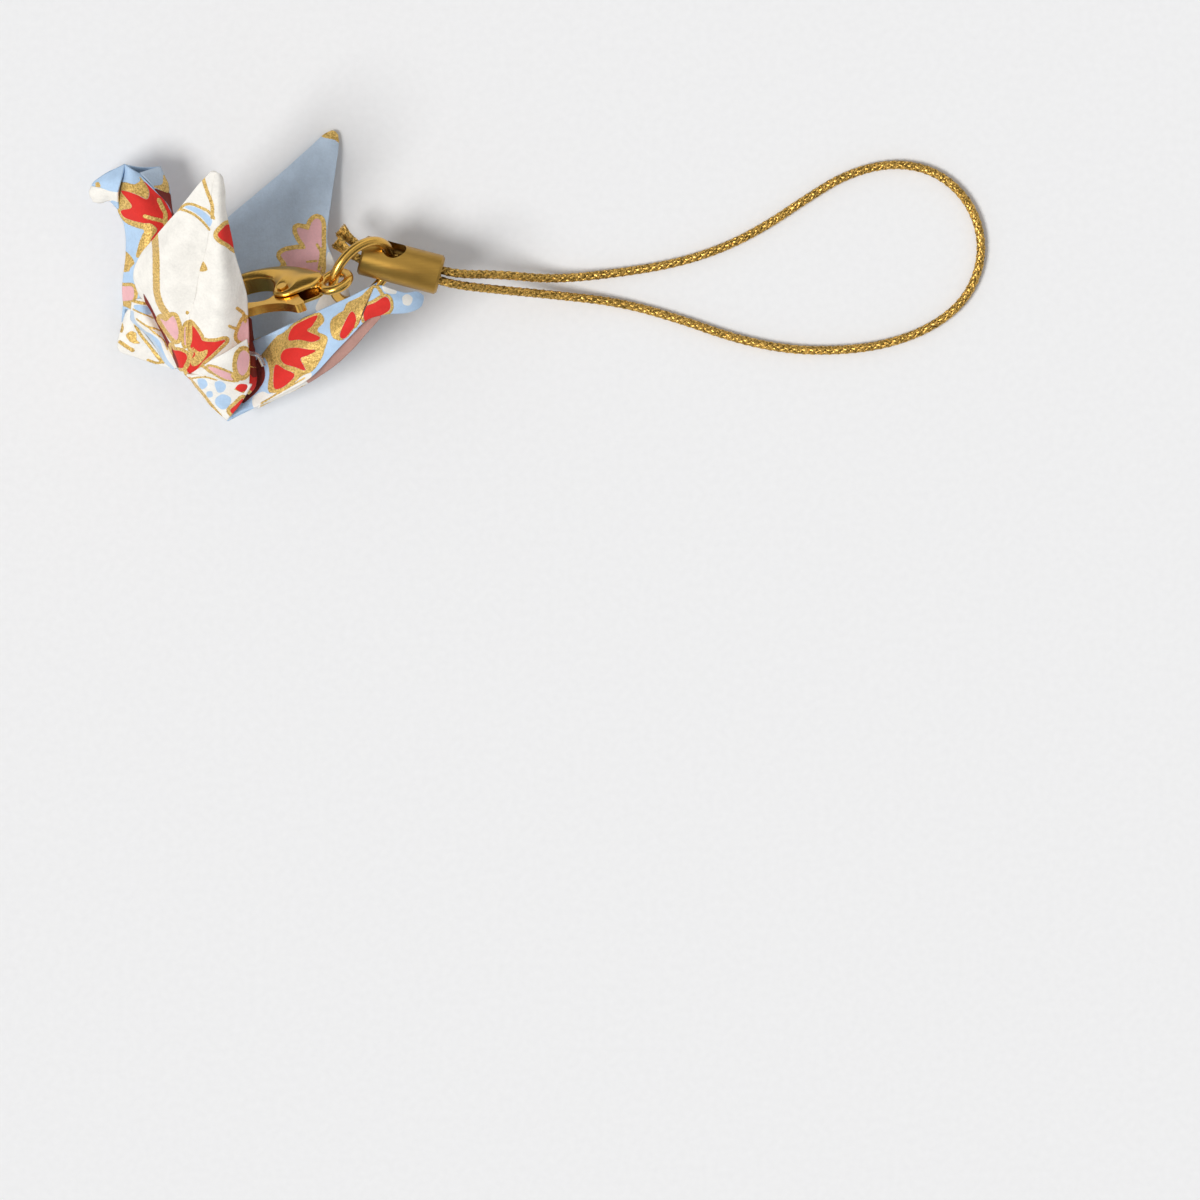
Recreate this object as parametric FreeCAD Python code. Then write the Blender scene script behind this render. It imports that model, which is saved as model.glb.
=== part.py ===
import FreeCAD, Part
import math
import os

V = FreeCAD.Vector

# An origami crane folded from one square of printed paper, on a short gold strap.
# The crane lies on its side. The base plane is z = 0, lengths are millimetres.

# Paper: points of the folded sheet are shares of its side, as (ahead, left, up) of the crotch
paper_side = 50.0
paper_thickness = 0.12
wing_layers = 3
leg_layers = 2
hump_layers = 2
rest_crotch = V(-6.64, -10.08, 2.67)
rest_turn = FreeCAD.Rotation(151.1, 21.4, 66.5)

# Clear thread: a loop through the hump and the hook, with one loose end
thread_diameter = 0.35
thread_hole_clearance = 0.05
thread_hump_hole = (0.004, 0.0, 0.126)
thread_side_reach = 0.9
thread_knot_radius = 0.38
thread_face_clearance = 0.4
thread_in_hook = (-8.72, -0.50)
thread_behind_hook = (-11.05, 1.70)
thread_tail = [V(-3.2, -5.4, 7.0), V(-1.7, -6.2, 8.1), V(-0.75, -6.35, 8.3), V(-0.35, -7.25, 8.15)]
thread_bend_share = 0.42

# Lobster clasp: x runs from the hook to the eye, y to the lever, z across the plate
clasp_eye_centre = V(5.34, -0.52, 8.02)
clasp_along = V(0.933, 0.161, 0.322)
clasp_face = V(0.317, -0.790, -0.524)
clasp_thickness = 2.0
clasp_edge_round = 0.25
eye_wire_radius = 0.38
eye_mean_radius = 1.15
lever_thickness = 0.8
lever_side_clearance = 0.06
slot_from = -5.6
slot_to = -1.3
slot_floor = -0.35
same_place = 0.01
pivot_place = (-4.1, 0.75)
rivet_radius = 0.4
rivet_running_clearance = 0.05
spring_wire_radius = 0.08
spring_mean_radius = 0.56
spring_pocket_radius = 0.75
spring_pocket_depth = 0.22

# Jump ring between the clasp and the sleeve
ring_wire_radius = 0.4
ring_mean_radius = 2.8
ring_centre = V(7.44, 0.32, 6.42)
ring_first_axis = V(0.66, 0.75, 0.0)
ring_second_axis = V(0.45, -0.40, -0.80)
ring_split = 0.06
ring_split_turn = 150.0
ring_turn_at_sleeve = 43.0

# Turned sleeve that ends the cord: its bore holds the ring with a strand either side
cord_diameter = 0.75
cord_ring_clearance = 0.05
cord_strand_gap = 0.06
sleeve_length = 6.55
sleeve_wall = 0.35
sleeve_bore_clearance = 0.05
sleeve_mouth_clearance = 0.14
sleeve_bore_radius = ring_wire_radius + cord_ring_clearance + cord_diameter + sleeve_bore_clearance
sleeve_radius = sleeve_bore_radius + sleeve_wall
sleeve_mouth_radius = cord_diameter + cord_strand_gap / 2 + sleeve_mouth_clearance
sleeve_mouth_length = 0.6
sleeve_edge_chamfer = 0.18
sleeve_hole_radius = 1.08
sleeve_hole_from_end = 2.3
sleeve_along = V(0.967, -0.254, 0.02)

# Metallic cord: the strands pass either side of the ring inside the sleeve
cord_bend_share = 0.45
cord_past_mouth = 1.4
cord_spread_past_mouth = 1.1
cord_rest_height = 0.39
tail_run = V(-0.74, 0.67, -0.06)
tail_length = 1.4
tail_bend_outside = 0.3
frayed_end_radius = 0.56
frayed_end_length = 0.8


def on_sheet(share):
    """Place of a point of the folded sheet once the crane lies at rest."""
    return rest_crotch + rest_turn.multVec(V(*share) * paper_side)


def unit(vector):
    """Copy of a vector with length one."""
    return V(vector).normalize()


def section_runs(sections):
    """Direction along the panel at each of its sections, from its neighbours."""
    middles = [section[1] for section in sections]
    last = len(middles) - 1
    return [unit(middles[min(i + 1, last)] - middles[max(i - 1, 0)]) for i in range(last + 1)]


def closed_solid(faces):
    """Solid inside a closed set of faces."""
    shell = Part.Shell(faces)
    shell.sewShape()
    solid = Part.Solid(shell)
    if solid.Volume < 0:
        solid.reverse()
    return solid


def smooth_skin(rows):
    """One smooth surface through a grid of points."""
    surface = Part.BSplineSurface()
    surface.interpolate(rows)
    return surface


def skin_edges(surface):
    """The four border edges of a smooth surface."""
    first_u, last_u, first_v, last_v = surface.bounds()
    curves = [surface.uIso(first_u), surface.uIso(last_u), surface.vIso(first_v), surface.vIso(last_v)]
    return [curve.toShape() for curve in curves]


def curled_panel(shares, thickness):
    """Smooth sheet through sections of three points each, from root to tip."""
    sections = [[on_sheet(share) for share in section] for section in shares]
    runs = section_runs(sections)
    lifts = [unit((s[2] - s[0]).cross(run)) * (thickness / 2) for s, run in zip(sections, runs)]
    outer = smooth_skin([[point + lift for point in s] for s, lift in zip(sections, lifts)])
    inner = smooth_skin([[point - lift for point in s] for s, lift in zip(sections, lifts)])
    borders = zip(skin_edges(outer), skin_edges(inner))
    rims = [Part.makeRuledSurface(outer_edge, inner_edge) for outer_edge, inner_edge in borders]
    return closed_solid([outer.toShape(), inner.toShape()] + rims)


def quad(a, b, c, d):
    """Two triangles across four corners."""
    return [Part.Face(Part.makePolygon([a, b, c, a])), Part.Face(Part.makePolygon([a, c, d, a]))]


def layer(rows, thickness):
    """One flat layer of the sheet between two creases, given as pairs of points."""
    runs = section_runs([[first, (first + second) * 0.5] for first, second in rows])
    rings = []
    for (first, second), run in zip(rows, runs):
        lift = unit((second - first).cross(run)) * (thickness / 2)
        rings.append([first + lift, second + lift, second - lift, first - lift])
    faces = quad(*rings[0]) + quad(*rings[-1])
    for ring, next_ring in zip(rings, rings[1:]):
        for i in range(len(ring)):
            j = (i + 1) % len(ring)
            faces += quad(ring[i], ring[j], next_ring[j], next_ring[i])
    return closed_solid(faces)


def creased_panel(shares, thickness):
    """Sheet folded along its middle: each section is edge, crease, far edge."""
    sections = [[on_sheet(share) for share in section] for section in shares]
    near_layer = layer([(edge, crease) for edge, crease, far_edge in sections], thickness)
    far_layer = layer([(crease, far_edge) for edge, crease, far_edge in sections], thickness)
    return near_layer.fuse(far_layer)


def near_wing():
    """Wing on the upper side, curled along its length."""
    return curled_panel([
        [(0.070, 0.000, 0.060), (0.004, -0.003, 0.046), (-0.099, 0.000, 0.058)],
        [(0.105, 0.043, 0.134), (-0.008, 0.066, 0.129), (-0.109, 0.047, 0.140)],
        [(0.132, 0.058, 0.168), (-0.008, 0.105, 0.213), (-0.091, 0.082, 0.218)],
        [(0.108, 0.104, 0.255), (-0.008, 0.143, 0.299), (-0.058, 0.134, 0.315)],
        [(0.053, 0.156, 0.362), (-0.008, 0.179, 0.389), (-0.029, 0.170, 0.398)],
        [(0.004, 0.204, 0.450), (-0.005, 0.207, 0.460), (-0.014, 0.199, 0.454)],
    ], wing_layers * paper_thickness)


def far_wing():
    """Wing that the crane lies on."""
    return curled_panel([
        [(0.082, 0.001, 0.060), (0.003, 0.004, 0.046), (-0.092, 0.001, 0.058)],
        [(0.134, -0.071, 0.161), (0.003, -0.080, 0.158), (-0.134, -0.077, 0.169)],
        [(0.090, -0.126, 0.271), (0.005, -0.136, 0.269), (-0.065, -0.149, 0.313)],
        [(0.042, -0.196, 0.379), (0.009, -0.203, 0.381), (-0.015, -0.208, 0.388)],
        [(0.021, -0.232, 0.430), (0.014, -0.236, 0.437), (0.006, -0.234, 0.431)],
    ], wing_layers * paper_thickness)


def hump():
    """Middle of the sheet, which stands up as a tent between the wings."""
    return creased_panel([
        [(0.085, 0.010, 0.062), (0.080, 0.000, 0.105), (0.085, -0.010, 0.062)],
        [(0.004, 0.013, 0.058), (0.004, 0.000, 0.150), (0.004, -0.013, 0.058)],
        [(-0.085, 0.010, 0.062), (-0.080, 0.000, 0.105), (-0.085, -0.010, 0.062)],
    ], hump_layers * paper_thickness)


def body():
    """Pocket below the wings, from the chest to the root of the tail."""
    return creased_panel([
        [(0.128, 0.018, 0.070), (0.137, 0.000, 0.022), (0.128, -0.018, 0.060)],
        [(0.012, 0.022, 0.090), (0.012, 0.000, 0.042), (0.012, -0.022, 0.090)],
        [(-0.107, 0.022, 0.078), (-0.096, 0.000, 0.010), (-0.107, -0.022, 0.070)],
    ], leg_layers * paper_thickness)


def neck():
    """Front leg, folded up and opened along its crease."""
    return creased_panel([
        [(0.140, -0.002, 0.025), (0.030, -0.002, 0.060), (0.100, -0.018, 0.036)],
        [(0.162, 0.000, 0.104), (0.083, -0.002, 0.162), (0.120, -0.036, 0.125)],
        [(0.200, 0.003, 0.211), (0.134, 0.002, 0.268), (0.142, -0.038, 0.248)],
        [(0.221, 0.012, 0.244), (0.208, 0.009, 0.313), (0.196, -0.036, 0.318)],
    ], leg_layers * paper_thickness)


def head():
    """End of the neck, turned down into a beak."""
    return creased_panel([
        [(0.212, 0.004, 0.236), (0.226, 0.015, 0.319), (0.210, -0.022, 0.288)],
        [(0.246, 0.003, 0.246), (0.252, 0.012, 0.283), (0.247, -0.016, 0.258)],
        [(0.265, -0.004, 0.227), (0.277, 0.003, 0.244), (0.274, -0.012, 0.233)],
    ], leg_layers * paper_thickness)


def tail():
    """Back leg, folded up to a point that is bent over to one side."""
    return creased_panel([
        [(-0.088, 0.010, 0.024), (-0.030, 0.008, 0.090), (-0.080, -0.014, 0.026)],
        [(-0.134, 0.012, 0.077), (-0.075, 0.006, 0.159), (-0.124, -0.028, 0.062)],
        [(-0.211, 0.014, 0.181), (-0.161, 0.006, 0.247), (-0.203, -0.024, 0.169)],
        [(-0.262, 0.010, 0.280), (-0.244, 0.000, 0.333), (-0.257, -0.026, 0.270)],
        [(-0.290, -0.013, 0.306), (-0.268, -0.014, 0.350), (-0.281, -0.036, 0.302)],
        [(-0.309, -0.042, 0.322), (-0.294, -0.043, 0.349), (-0.303, -0.057, 0.331)],
    ], leg_layers * paper_thickness)


def thread_hole():
    """Cutter for the hole that the thread passes in the hump."""
    across = rest_turn.multVec(V(0, 1, 0))
    start = on_sheet(thread_hump_hole) - across * thread_side_reach
    return Part.makeCylinder(thread_diameter / 2 + thread_hole_clearance, 2 * thread_side_reach, start, across)


def paper_crane():
    """The folded sheet as one solid."""
    panels = [near_wing(), far_wing(), hump(), body(), neck(), head(), tail()]
    return panels[0].multiFuse(panels[1:]).cut(thread_hole())


def spline_outline(points):
    """Closed smooth outline through points in the clasp's plane."""
    curve = Part.BSplineCurve()
    curve.interpolate(Points=[V(x, y, 0) for x, y in points], PeriodicFlag=True)
    return Part.Face(Part.Wire(curve.toShape()))


def plate(outline, thickness):
    """Flat piece centred on the clasp's plane."""
    face = outline.copy()
    face.translate(V(0, 0, -thickness / 2))
    return face.extrude(V(0, 0, thickness))


def frame_at(origin, along, face):
    """Placement whose x runs along one direction and whose z is nearest to another."""
    x_axis = unit(along)
    y_axis = unit(face.cross(x_axis))
    z_axis = x_axis.cross(y_axis)
    return FreeCAD.Placement(origin, FreeCAD.Rotation(x_axis, y_axis, z_axis, "XYZ"))


clasp_frame = frame_at(clasp_eye_centre, clasp_along, clasp_face)


def on_clasp(shape):
    """Move a piece made in the clasp's own axes to where the clasp lies."""
    shape.Placement = clasp_frame.multiply(shape.Placement)
    return shape


def hook_outline():
    """Back, hook and cheeks of the clasp, with the mouth towards the lever."""
    return spline_outline([
        (-1.2, -0.70), (-2.5, -1.60), (-4.4, -2.45), (-6.6, -2.70), (-8.7, -2.25), (-9.9, -1.1),
        (-10.35, 0.25), (-10.15, 1.40), (-9.45, 2.12), (-8.75, 2.10), (-8.70, 1.60), (-9.15, 1.05),
        (-9.25, 0.10), (-8.75, -0.95), (-7.4, -1.45), (-6.0, -1.25), (-5.15, -0.55), (-4.95, 0.40),
        (-4.85, 1.20), (-4.2, 1.60), (-3.2, 1.55), (-2.1, 1.15), (-1.2, 0.70),
    ])


def clasp_body():
    """Cast body of the clasp: hook, back, cheeks and eye in one."""
    block = plate(hook_outline(), clasp_thickness)
    rims = [edge for edge in block.Edges if abs(abs(edge.CenterOfMass.z) - clasp_thickness / 2) < same_place]
    body_block = block.makeFillet(clasp_edge_round, rims)
    slot_width = lever_thickness + 2 * lever_side_clearance
    slot = Part.makeBox(slot_to - slot_from, clasp_thickness * 2, slot_width,
                        V(slot_from, slot_floor, -slot_width / 2))
    hole = Part.makeCylinder(rivet_radius, clasp_thickness * 2, V(*pivot_place, -clasp_thickness))
    eye = Part.makeTorus(eye_mean_radius, eye_wire_radius)
    return on_clasp(body_block.fuse(eye).cut(slot).cut(hole))


def clasp_rivet():
    """Pin that carries the lever, flush with the cheeks."""
    return on_clasp(Part.makeCylinder(rivet_radius, clasp_thickness,
                                      V(*pivot_place, -clasp_thickness / 2)))


def clasp_lever():
    """Sprung arm that closes the hook, with its thumb tab."""
    arm = plate(spline_outline([
        (-4.1, 0.12), (-3.45, 0.35), (-2.85, 1.20), (-2.35, 2.20), (-2.05, 2.75), (-2.45, 2.98),
        (-3.2, 2.72), (-4.3, 2.28), (-6.2, 2.18), (-8.0, 2.35), (-8.55, 2.15), (-8.35, 1.72),
        (-6.6, 1.50), (-5.3, 1.38), (-4.75, 0.70),
    ]), lever_thickness)
    bore = Part.makeCylinder(rivet_radius + rivet_running_clearance, lever_thickness * 2,
                             V(*pivot_place, -lever_thickness))
    pocket = Part.makeCylinder(spring_pocket_radius, lever_thickness,
                               V(*pivot_place, lever_thickness / 2 - spring_pocket_depth))
    return on_clasp(arm.cut(bore).cut(pocket))


def clasp_spring():
    """One turn of wire round the rivet, with a leg down to the floor of the slot."""
    height = (lever_thickness - spring_pocket_depth) / 2
    coil = Part.makeTorus(spring_mean_radius, spring_wire_radius, V(*pivot_place, height), V(0, 0, 1))
    leg_top = pivot_place[1] - spring_mean_radius
    leg = Part.makeCylinder(spring_wire_radius, leg_top - slot_floor,
                            V(pivot_place[0], slot_floor, height), V(0, 1, 0))
    return on_clasp(coil.fuse(leg))


def ring_point(turn):
    """Point on the middle line of the jump ring."""
    angle = math.radians(turn)
    first = unit(ring_first_axis)
    second = unit(ring_second_axis)
    return ring_centre + (first * math.cos(angle) + second * math.sin(angle)) * ring_mean_radius


ring_normal = unit(unit(ring_first_axis).cross(unit(ring_second_axis)))
sleeve_hole_centre = ring_point(ring_turn_at_sleeve)
ring_run_in_sleeve = unit(ring_normal.cross(sleeve_hole_centre - ring_centre))
sleeve_start = sleeve_hole_centre - unit(sleeve_along) * sleeve_hole_from_end
sleeve_frame = frame_at(sleeve_start, sleeve_along, ring_run_in_sleeve)


def jump_ring():
    """Round wire ring, cut once."""
    ring = Part.makeTorus(ring_mean_radius, ring_wire_radius, ring_centre, ring_normal)
    cut_place = ring_point(ring_split_turn)
    outward = unit(cut_place - ring_centre)
    saw = Part.makeBox(4 * ring_wire_radius, ring_split, 4 * ring_wire_radius,
                       V(-2 * ring_wire_radius, -ring_split / 2, -2 * ring_wire_radius))
    saw.Placement = frame_at(cut_place, outward, ring_normal)
    saw_offset = saw.BoundBox.Center - cut_place
    saw.translate(saw_offset * -1)
    return ring.cut(saw)


def cord_end_sleeve():
    """Turned sleeve: wide bore, narrower mouth for the cord, cross hole for the ring."""
    outside = Part.makeCylinder(sleeve_radius, sleeve_length, V(0, 0, 0), V(1, 0, 0))
    ends = [edge for edge in outside.Edges if edge.Curve.TypeId == "Part::GeomCircle"]
    outside = outside.makeChamfer(sleeve_edge_chamfer, ends)
    bore_length = sleeve_length - sleeve_mouth_length
    bore = Part.makeCylinder(sleeve_bore_radius, bore_length, V(0, 0, 0), V(1, 0, 0))
    mouth = Part.makeCylinder(sleeve_mouth_radius, sleeve_length, V(0, 0, 0), V(1, 0, 0))
    cross_hole = Part.makeCylinder(sleeve_hole_radius, 4 * sleeve_radius,
                                   V(sleeve_hole_from_end, 0, -2 * sleeve_radius))
    sleeve = outside.cut(bore).cut(mouth).cut(cross_hole)
    sleeve.Placement = sleeve_frame
    return sleeve


def rounded_corners(points, bend_share):
    """Tangent arcs for the corners of a route, each as large as its two runs allow."""
    arcs = []
    radii = []
    for i in range(1, len(points) - 1):
        before = points[i - 1] - points[i]
        after = points[i + 1] - points[i]
        turn = math.pi - before.getAngle(after)
        setback = bend_share * min(before.Length, after.Length)
        radius = setback / math.tan(turn / 2)
        inward = unit(unit(before) + unit(after))
        middle = points[i] + inward * (radius / math.cos(turn / 2) - radius)
        arcs.append((points[i] + unit(before) * setback, middle, points[i] + unit(after) * setback))
        radii.append(radius)
    return arcs, radii


def tube(points, diameter, bend_share):
    """Round solid along straight runs and arcs, checked against its section and length."""
    arcs, radii = rounded_corners(points, bend_share)
    edges = []
    place = points[0]
    for entry, middle, leave in arcs:
        edges.append(Part.LineSegment(place, entry).toShape())
        edges.append(Part.Arc(entry, middle, leave).toShape())
        place = leave
    edges.append(Part.LineSegment(place, points[-1]).toShape())
    wire = Part.Wire(edges)
    circle = Part.makeCircle(diameter / 2, points[0], points[1] - points[0])
    swept = wire.makePipeShell([Part.Wire([circle])], True, False)
    section = math.pi * (diameter / 2) ** 2
    print("tube length", round(wire.Length, 2), "tightest radii", [round(r, 2) for r in sorted(radii)[:4]],
          "volume over section x length", round(swept.Volume / (section * wire.Length), 4))
    return swept


def clasp_point(x, y, z):
    """Place of a point given in the clasp's own axes."""
    return clasp_frame.multVec(V(x, y, z))


def nylon_thread():
    """Clear thread: a knotted loop through the hump and the hook, and its loose end."""
    hole = on_sheet(thread_hump_hole)
    across = rest_turn.multVec(V(0, 1, 0)) * thread_side_reach
    face = clasp_thickness / 2 + thread_face_clearance
    behind_hook = clasp_point(*thread_behind_hook, -face)
    knot = (behind_hook + hole + across) * 0.5
    loop = tube([
        knot,
        hole + across,
        hole - across,
        clasp_point(*thread_in_hook, face),
        clasp_point(*thread_in_hook, -face),
        behind_hook,
        knot,
    ], thread_diameter, thread_bend_share)
    loose_end = tube([knot] + thread_tail, thread_diameter, thread_bend_share)
    return Part.makeSphere(thread_knot_radius, knot).multiFuse([loop, loose_end])


def strand_in_sleeve(side):
    """Route of one strand from its frayed end, past the ring, to the mouth of the sleeve."""
    x_axis = sleeve_frame.Rotation.multVec(V(1, 0, 0))
    across = sleeve_frame.Rotation.multVec(V(0, 1, 0))
    beside_ring = ring_wire_radius + cord_diameter / 2 + cord_ring_clearance
    beside_strand = (cord_diameter + cord_strand_gap) / 2
    mouth_across = unit(V(0, 0, 1).cross(x_axis)) * -beside_strand * side
    crossing = sleeve_hole_centre + across * beside_ring * side
    mouth = sleeve_start + x_axis * (sleeve_length - sleeve_mouth_length / 2) + mouth_across
    outside = sleeve_start + x_axis * (sleeve_length + cord_past_mouth) + mouth_across * cord_spread_past_mouth
    bend = sleeve_start - x_axis * tail_bend_outside + across * beside_ring * side
    return [bend + unit(tail_run) * tail_length, bend, crossing, mouth, outside]


cord_from_sleeve = [V(18.5, 0.10, 2.9), V(22.6, -0.30, 1.2)]
cord_on_table = [
    (27.4, 0.15), (32.4, 0.95), (36.3, 2.20), (39.7, 3.95), (42.8, 6.05), (46.0, 8.05), (49.6, 9.05),
    (53.0, 8.55), (55.6, 6.55), (56.95, 3.75), (56.95, 0.75), (55.6, -2.10), (52.9, -4.20), (49.4, -5.50),
    (45.5, -6.00), (41.4, -5.90), (37.2, -5.00), (32.7, -3.40), (28.0, -2.10),
]
cord_to_sleeve = [V(23.0, -1.55, 1.2), V(18.6, -1.15, 2.9)]


def gold_cord():
    """One length of cord: out of the sleeve, round in a loop on the table and back in."""
    resting = [V(x, y, cord_rest_height) for x, y in cord_on_table]
    upper = strand_in_sleeve(-1)
    lower = strand_in_sleeve(1)
    route = upper + cord_from_sleeve + resting + cord_to_sleeve + lower[::-1]
    return tube(route, cord_diameter, cord_bend_share)


def cord_frayed_ends():
    """The two cut ends of the cord, where its threads spread."""
    cones = []
    for side in (1, -1):
        end = strand_in_sleeve(side)[0]
        cones.append(Part.makeCone(cord_diameter / 2, frayed_end_radius, frayed_end_length, end, unit(tail_run)))
    return Part.makeCompound(cones)


def report(name, shape):
    """Print a sub-part's solids, validity and volume."""
    print(name, len(shape.Solids), "solids", "valid" if shape.isValid() else "BROKEN",
          round(shape.Volume, 3), "mm3")


os.makedirs("parts", exist_ok=True)
builders = [paper_crane, nylon_thread, clasp_body, clasp_rivet, clasp_lever, clasp_spring, jump_ring,
            cord_end_sleeve, gold_cord, cord_frayed_ends]
for build in builders:
    piece = build()
    report(build.__name__, piece)
    piece.exportStep("parts/" + build.__name__ + ".step")
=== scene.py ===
import math

import bmesh
import bpy
import numpy as np
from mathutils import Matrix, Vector, kdtree, noise


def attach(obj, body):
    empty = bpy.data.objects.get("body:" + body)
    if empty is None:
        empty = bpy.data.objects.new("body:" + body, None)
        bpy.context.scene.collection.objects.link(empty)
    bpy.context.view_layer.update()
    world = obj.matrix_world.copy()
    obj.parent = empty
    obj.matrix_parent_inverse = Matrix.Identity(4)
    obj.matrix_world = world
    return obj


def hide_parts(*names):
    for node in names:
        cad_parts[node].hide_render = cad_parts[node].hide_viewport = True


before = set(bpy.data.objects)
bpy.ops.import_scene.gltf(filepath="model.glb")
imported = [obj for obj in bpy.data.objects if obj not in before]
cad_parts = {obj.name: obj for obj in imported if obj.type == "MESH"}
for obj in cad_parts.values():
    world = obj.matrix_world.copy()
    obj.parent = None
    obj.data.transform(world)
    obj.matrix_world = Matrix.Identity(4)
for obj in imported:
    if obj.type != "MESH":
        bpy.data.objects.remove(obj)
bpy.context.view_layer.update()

bl_info = {
    "name": "Origami crane charm",
    "version": (1, 0, 0),
    "blender": (4, 5, 0),
    "location": "3D View > Sidebar > Crane",
    "description": "Builds the looks of a folded paper crane on a gold strap around its solids",
    "category": "Object",
}

# The layout drawing of the resting crane, seen from above: 12.5 units for a millimetre.
# Its points are (right, down, height in mm above the drawing's own base).
UNITS_PER_MM = 12.5
DRAWING_ORIGIN = (269.0, 276.0)
DRAWING_BASE = 1.33
MM = 0.001
# Of these, shade and the darker pink and red are painted shade: paper and print darkened where shade falls.
INKS = ("blue", "shade", "pink", "rose", "red", "wine", "gold")


# sizes and colours

class PaperSettings(bpy.types.PropertyGroup):
    thickness: bpy.props.FloatProperty(name="Thickness", description="Thickness of the folded layers",
                                       default=0.00016, unit="LENGTH")
    step: bpy.props.FloatProperty(name="Mesh step",
                                  description="Distance between the points of the sheet's mesh",
                                  default=0.00013, unit="LENGTH")
    crumple: bpy.props.FloatProperty(name="Crumple", description="Height of the soft waves in the paper",
                                     default=0.00009, unit="LENGTH")
    cream: bpy.props.FloatVectorProperty(name="Cream", description="Bare paper", subtype="COLOR", size=3,
                                         default=(0.89, 0.86, 0.79))
    blue: bpy.props.FloatVectorProperty(name="Blue", description="Light blue print", subtype="COLOR", size=3,
                                        default=(0.47, 0.64, 0.84))
    # Painted shade: light blue paper greyed as it looks in shade, used on the far wing, the peak, a fold and
    # under the tail.
    shade: bpy.props.FloatVectorProperty(name="Shaded", description="Slate blue print", subtype="COLOR",
                                         size=3,
                                         default=(0.54, 0.65, 0.77))
    pink: bpy.props.FloatVectorProperty(name="Pink", description="Pink print", subtype="COLOR", size=3,
                                        default=(0.84, 0.47, 0.48))
    # Painted shade: pink print darkened where the tail's upper layer shades the under layer.
    rose: bpy.props.FloatVectorProperty(name="Pink in shade", description="Shade-darkened pink of the tail's under layer",
                                        subtype="COLOR", size=3, default=(0.52, 0.29, 0.24))
    red: bpy.props.FloatVectorProperty(name="Red", description="Red print", subtype="COLOR", size=3,
                                       default=(0.72, 0.030, 0.022))
    # Painted shade: red print darkened where folds, the wing and the tail shade it.
    wine: bpy.props.FloatVectorProperty(name="Red in shade", description="Dark red print in the shade of the folds",
                                        subtype="COLOR",
                                        size=3, default=(0.21, 0.022, 0.012))
    gold: bpy.props.FloatVectorProperty(name="Gold ink", description="Metallic gold print", subtype="COLOR",
                                        size=3,
                                        default=(0.84, 0.51, 0.12))


class CordSettings(bpy.types.PropertyGroup):
    diameter: bpy.props.FloatProperty(name="Diameter", description="Diameter of the braided cord",
                                      default=0.00075, unit="LENGTH")
    pitch: bpy.props.FloatProperty(name="Braid pitch", description="Length of one turn of a strand",
                                   default=0.0027, unit="LENGTH")
    strands: bpy.props.IntProperty(name="Strands each way", description="Strands that turn each way",
                                   default=4)
    loose_threads: bpy.props.IntProperty(name="Loose threads", description="Threads spread at each cut end",
                                         default=130)
    colour: bpy.props.FloatVectorProperty(name="Thread colour", description="Metallic thread",
                                          subtype="COLOR",
                                          size=3, default=(0.46, 0.27, 0.045))


class MetalSettings(bpy.types.PropertyGroup):
    colour: bpy.props.FloatVectorProperty(name="Gold", description="Polished gold plate", subtype="COLOR",
                                          size=3,
                                          default=(0.72, 0.42, 0.09))
    roughness: bpy.props.FloatProperty(name="Roughness", description="Roughness of the plate", default=0.16)


class StageSettings(bpy.types.PropertyGroup):
    floor: bpy.props.FloatVectorProperty(name="Floor", description="Colour of the floor", subtype="COLOR",
                                         size=3,
                                         default=(0.93, 0.93, 0.925))
    camera_height: bpy.props.FloatProperty(name="Camera height",
                                           description="Height of the camera above the table",
                                           default=3.0, unit="LENGTH")
    view_width: bpy.props.FloatProperty(name="View width", description="Width of the table in the picture",
                                        default=0.096, unit="LENGTH")
    floor_reach: bpy.props.FloatProperty(name="Floor reach", description="Distance from the middle to a side",
                                         default=3.0, unit="LENGTH")
    sun: bpy.props.FloatProperty(name="Sun", description="Strength of the lamp", default=2.0)
    sun_size: bpy.props.FloatProperty(name="Sun size", description="Softness of the lamp's shadow",
                                      default=math.radians(22), subtype="ANGLE")


# small helpers

def place(points):
    """Points of the layout drawing as metres in the frame."""
    points = np.asarray(points, float)
    across = (points[..., 0] - DRAWING_ORIGIN[0]) / UNITS_PER_MM
    up = (DRAWING_ORIGIN[1] - points[..., 1]) / UNITS_PER_MM
    return np.stack([across, up, points[..., 2] - DRAWING_BASE], -1) * MM


def smooth_between(points, count):
    """Resample the first axis of a grid of points along a smooth curve."""
    last = len(points) - 1
    if last == 1:
        share = np.linspace(0, 1, count).reshape((-1,) + (1,) * (points.ndim - 1))
        return points[0] * (1 - share) + points[1] * share
    slopes = np.gradient(points, axis=0)
    at = np.linspace(0, last, count)
    i = np.minimum(at.astype(int), last - 1)
    t = (at - i).reshape((-1,) + (1,) * (points.ndim - 1))
    a, b, da, db = points[i], points[i + 1], slopes[i], slopes[i + 1]
    return ((2 * t**3 - 3 * t**2 + 1) * a + (t**3 - 2 * t**2 + t) * da
            + (3 * t**2 - 2 * t**3) * b + (t**3 - t**2) * db)


def longest(points):
    """Length of the longest line along the first axis."""
    return np.linalg.norm(np.diff(points, axis=0), axis=-1).sum(0).max()


def sheet_grid(rows, step):
    """Smooth grid of points through the rows of one panel."""
    points = place(rows)
    along = max(6, int(longest(points) / step))
    grid = smooth_between(points, along)
    grid = np.swapaxes(grid, 0, 1)
    across = max(4, int(longest(grid) / step))
    return np.swapaxes(smooth_between(grid, across), 0, 1)


def closed_outline(corners, count=10):
    """Smooth closed line through the corners of a field of colour."""
    corners = np.asarray(corners, float)
    looped = np.concatenate([corners[-2:], corners, corners[:3]])
    line = smooth_between(looped, (len(looped) - 1) * count + 1)
    return line[2 * count:(len(corners) + 2) * count]


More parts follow.
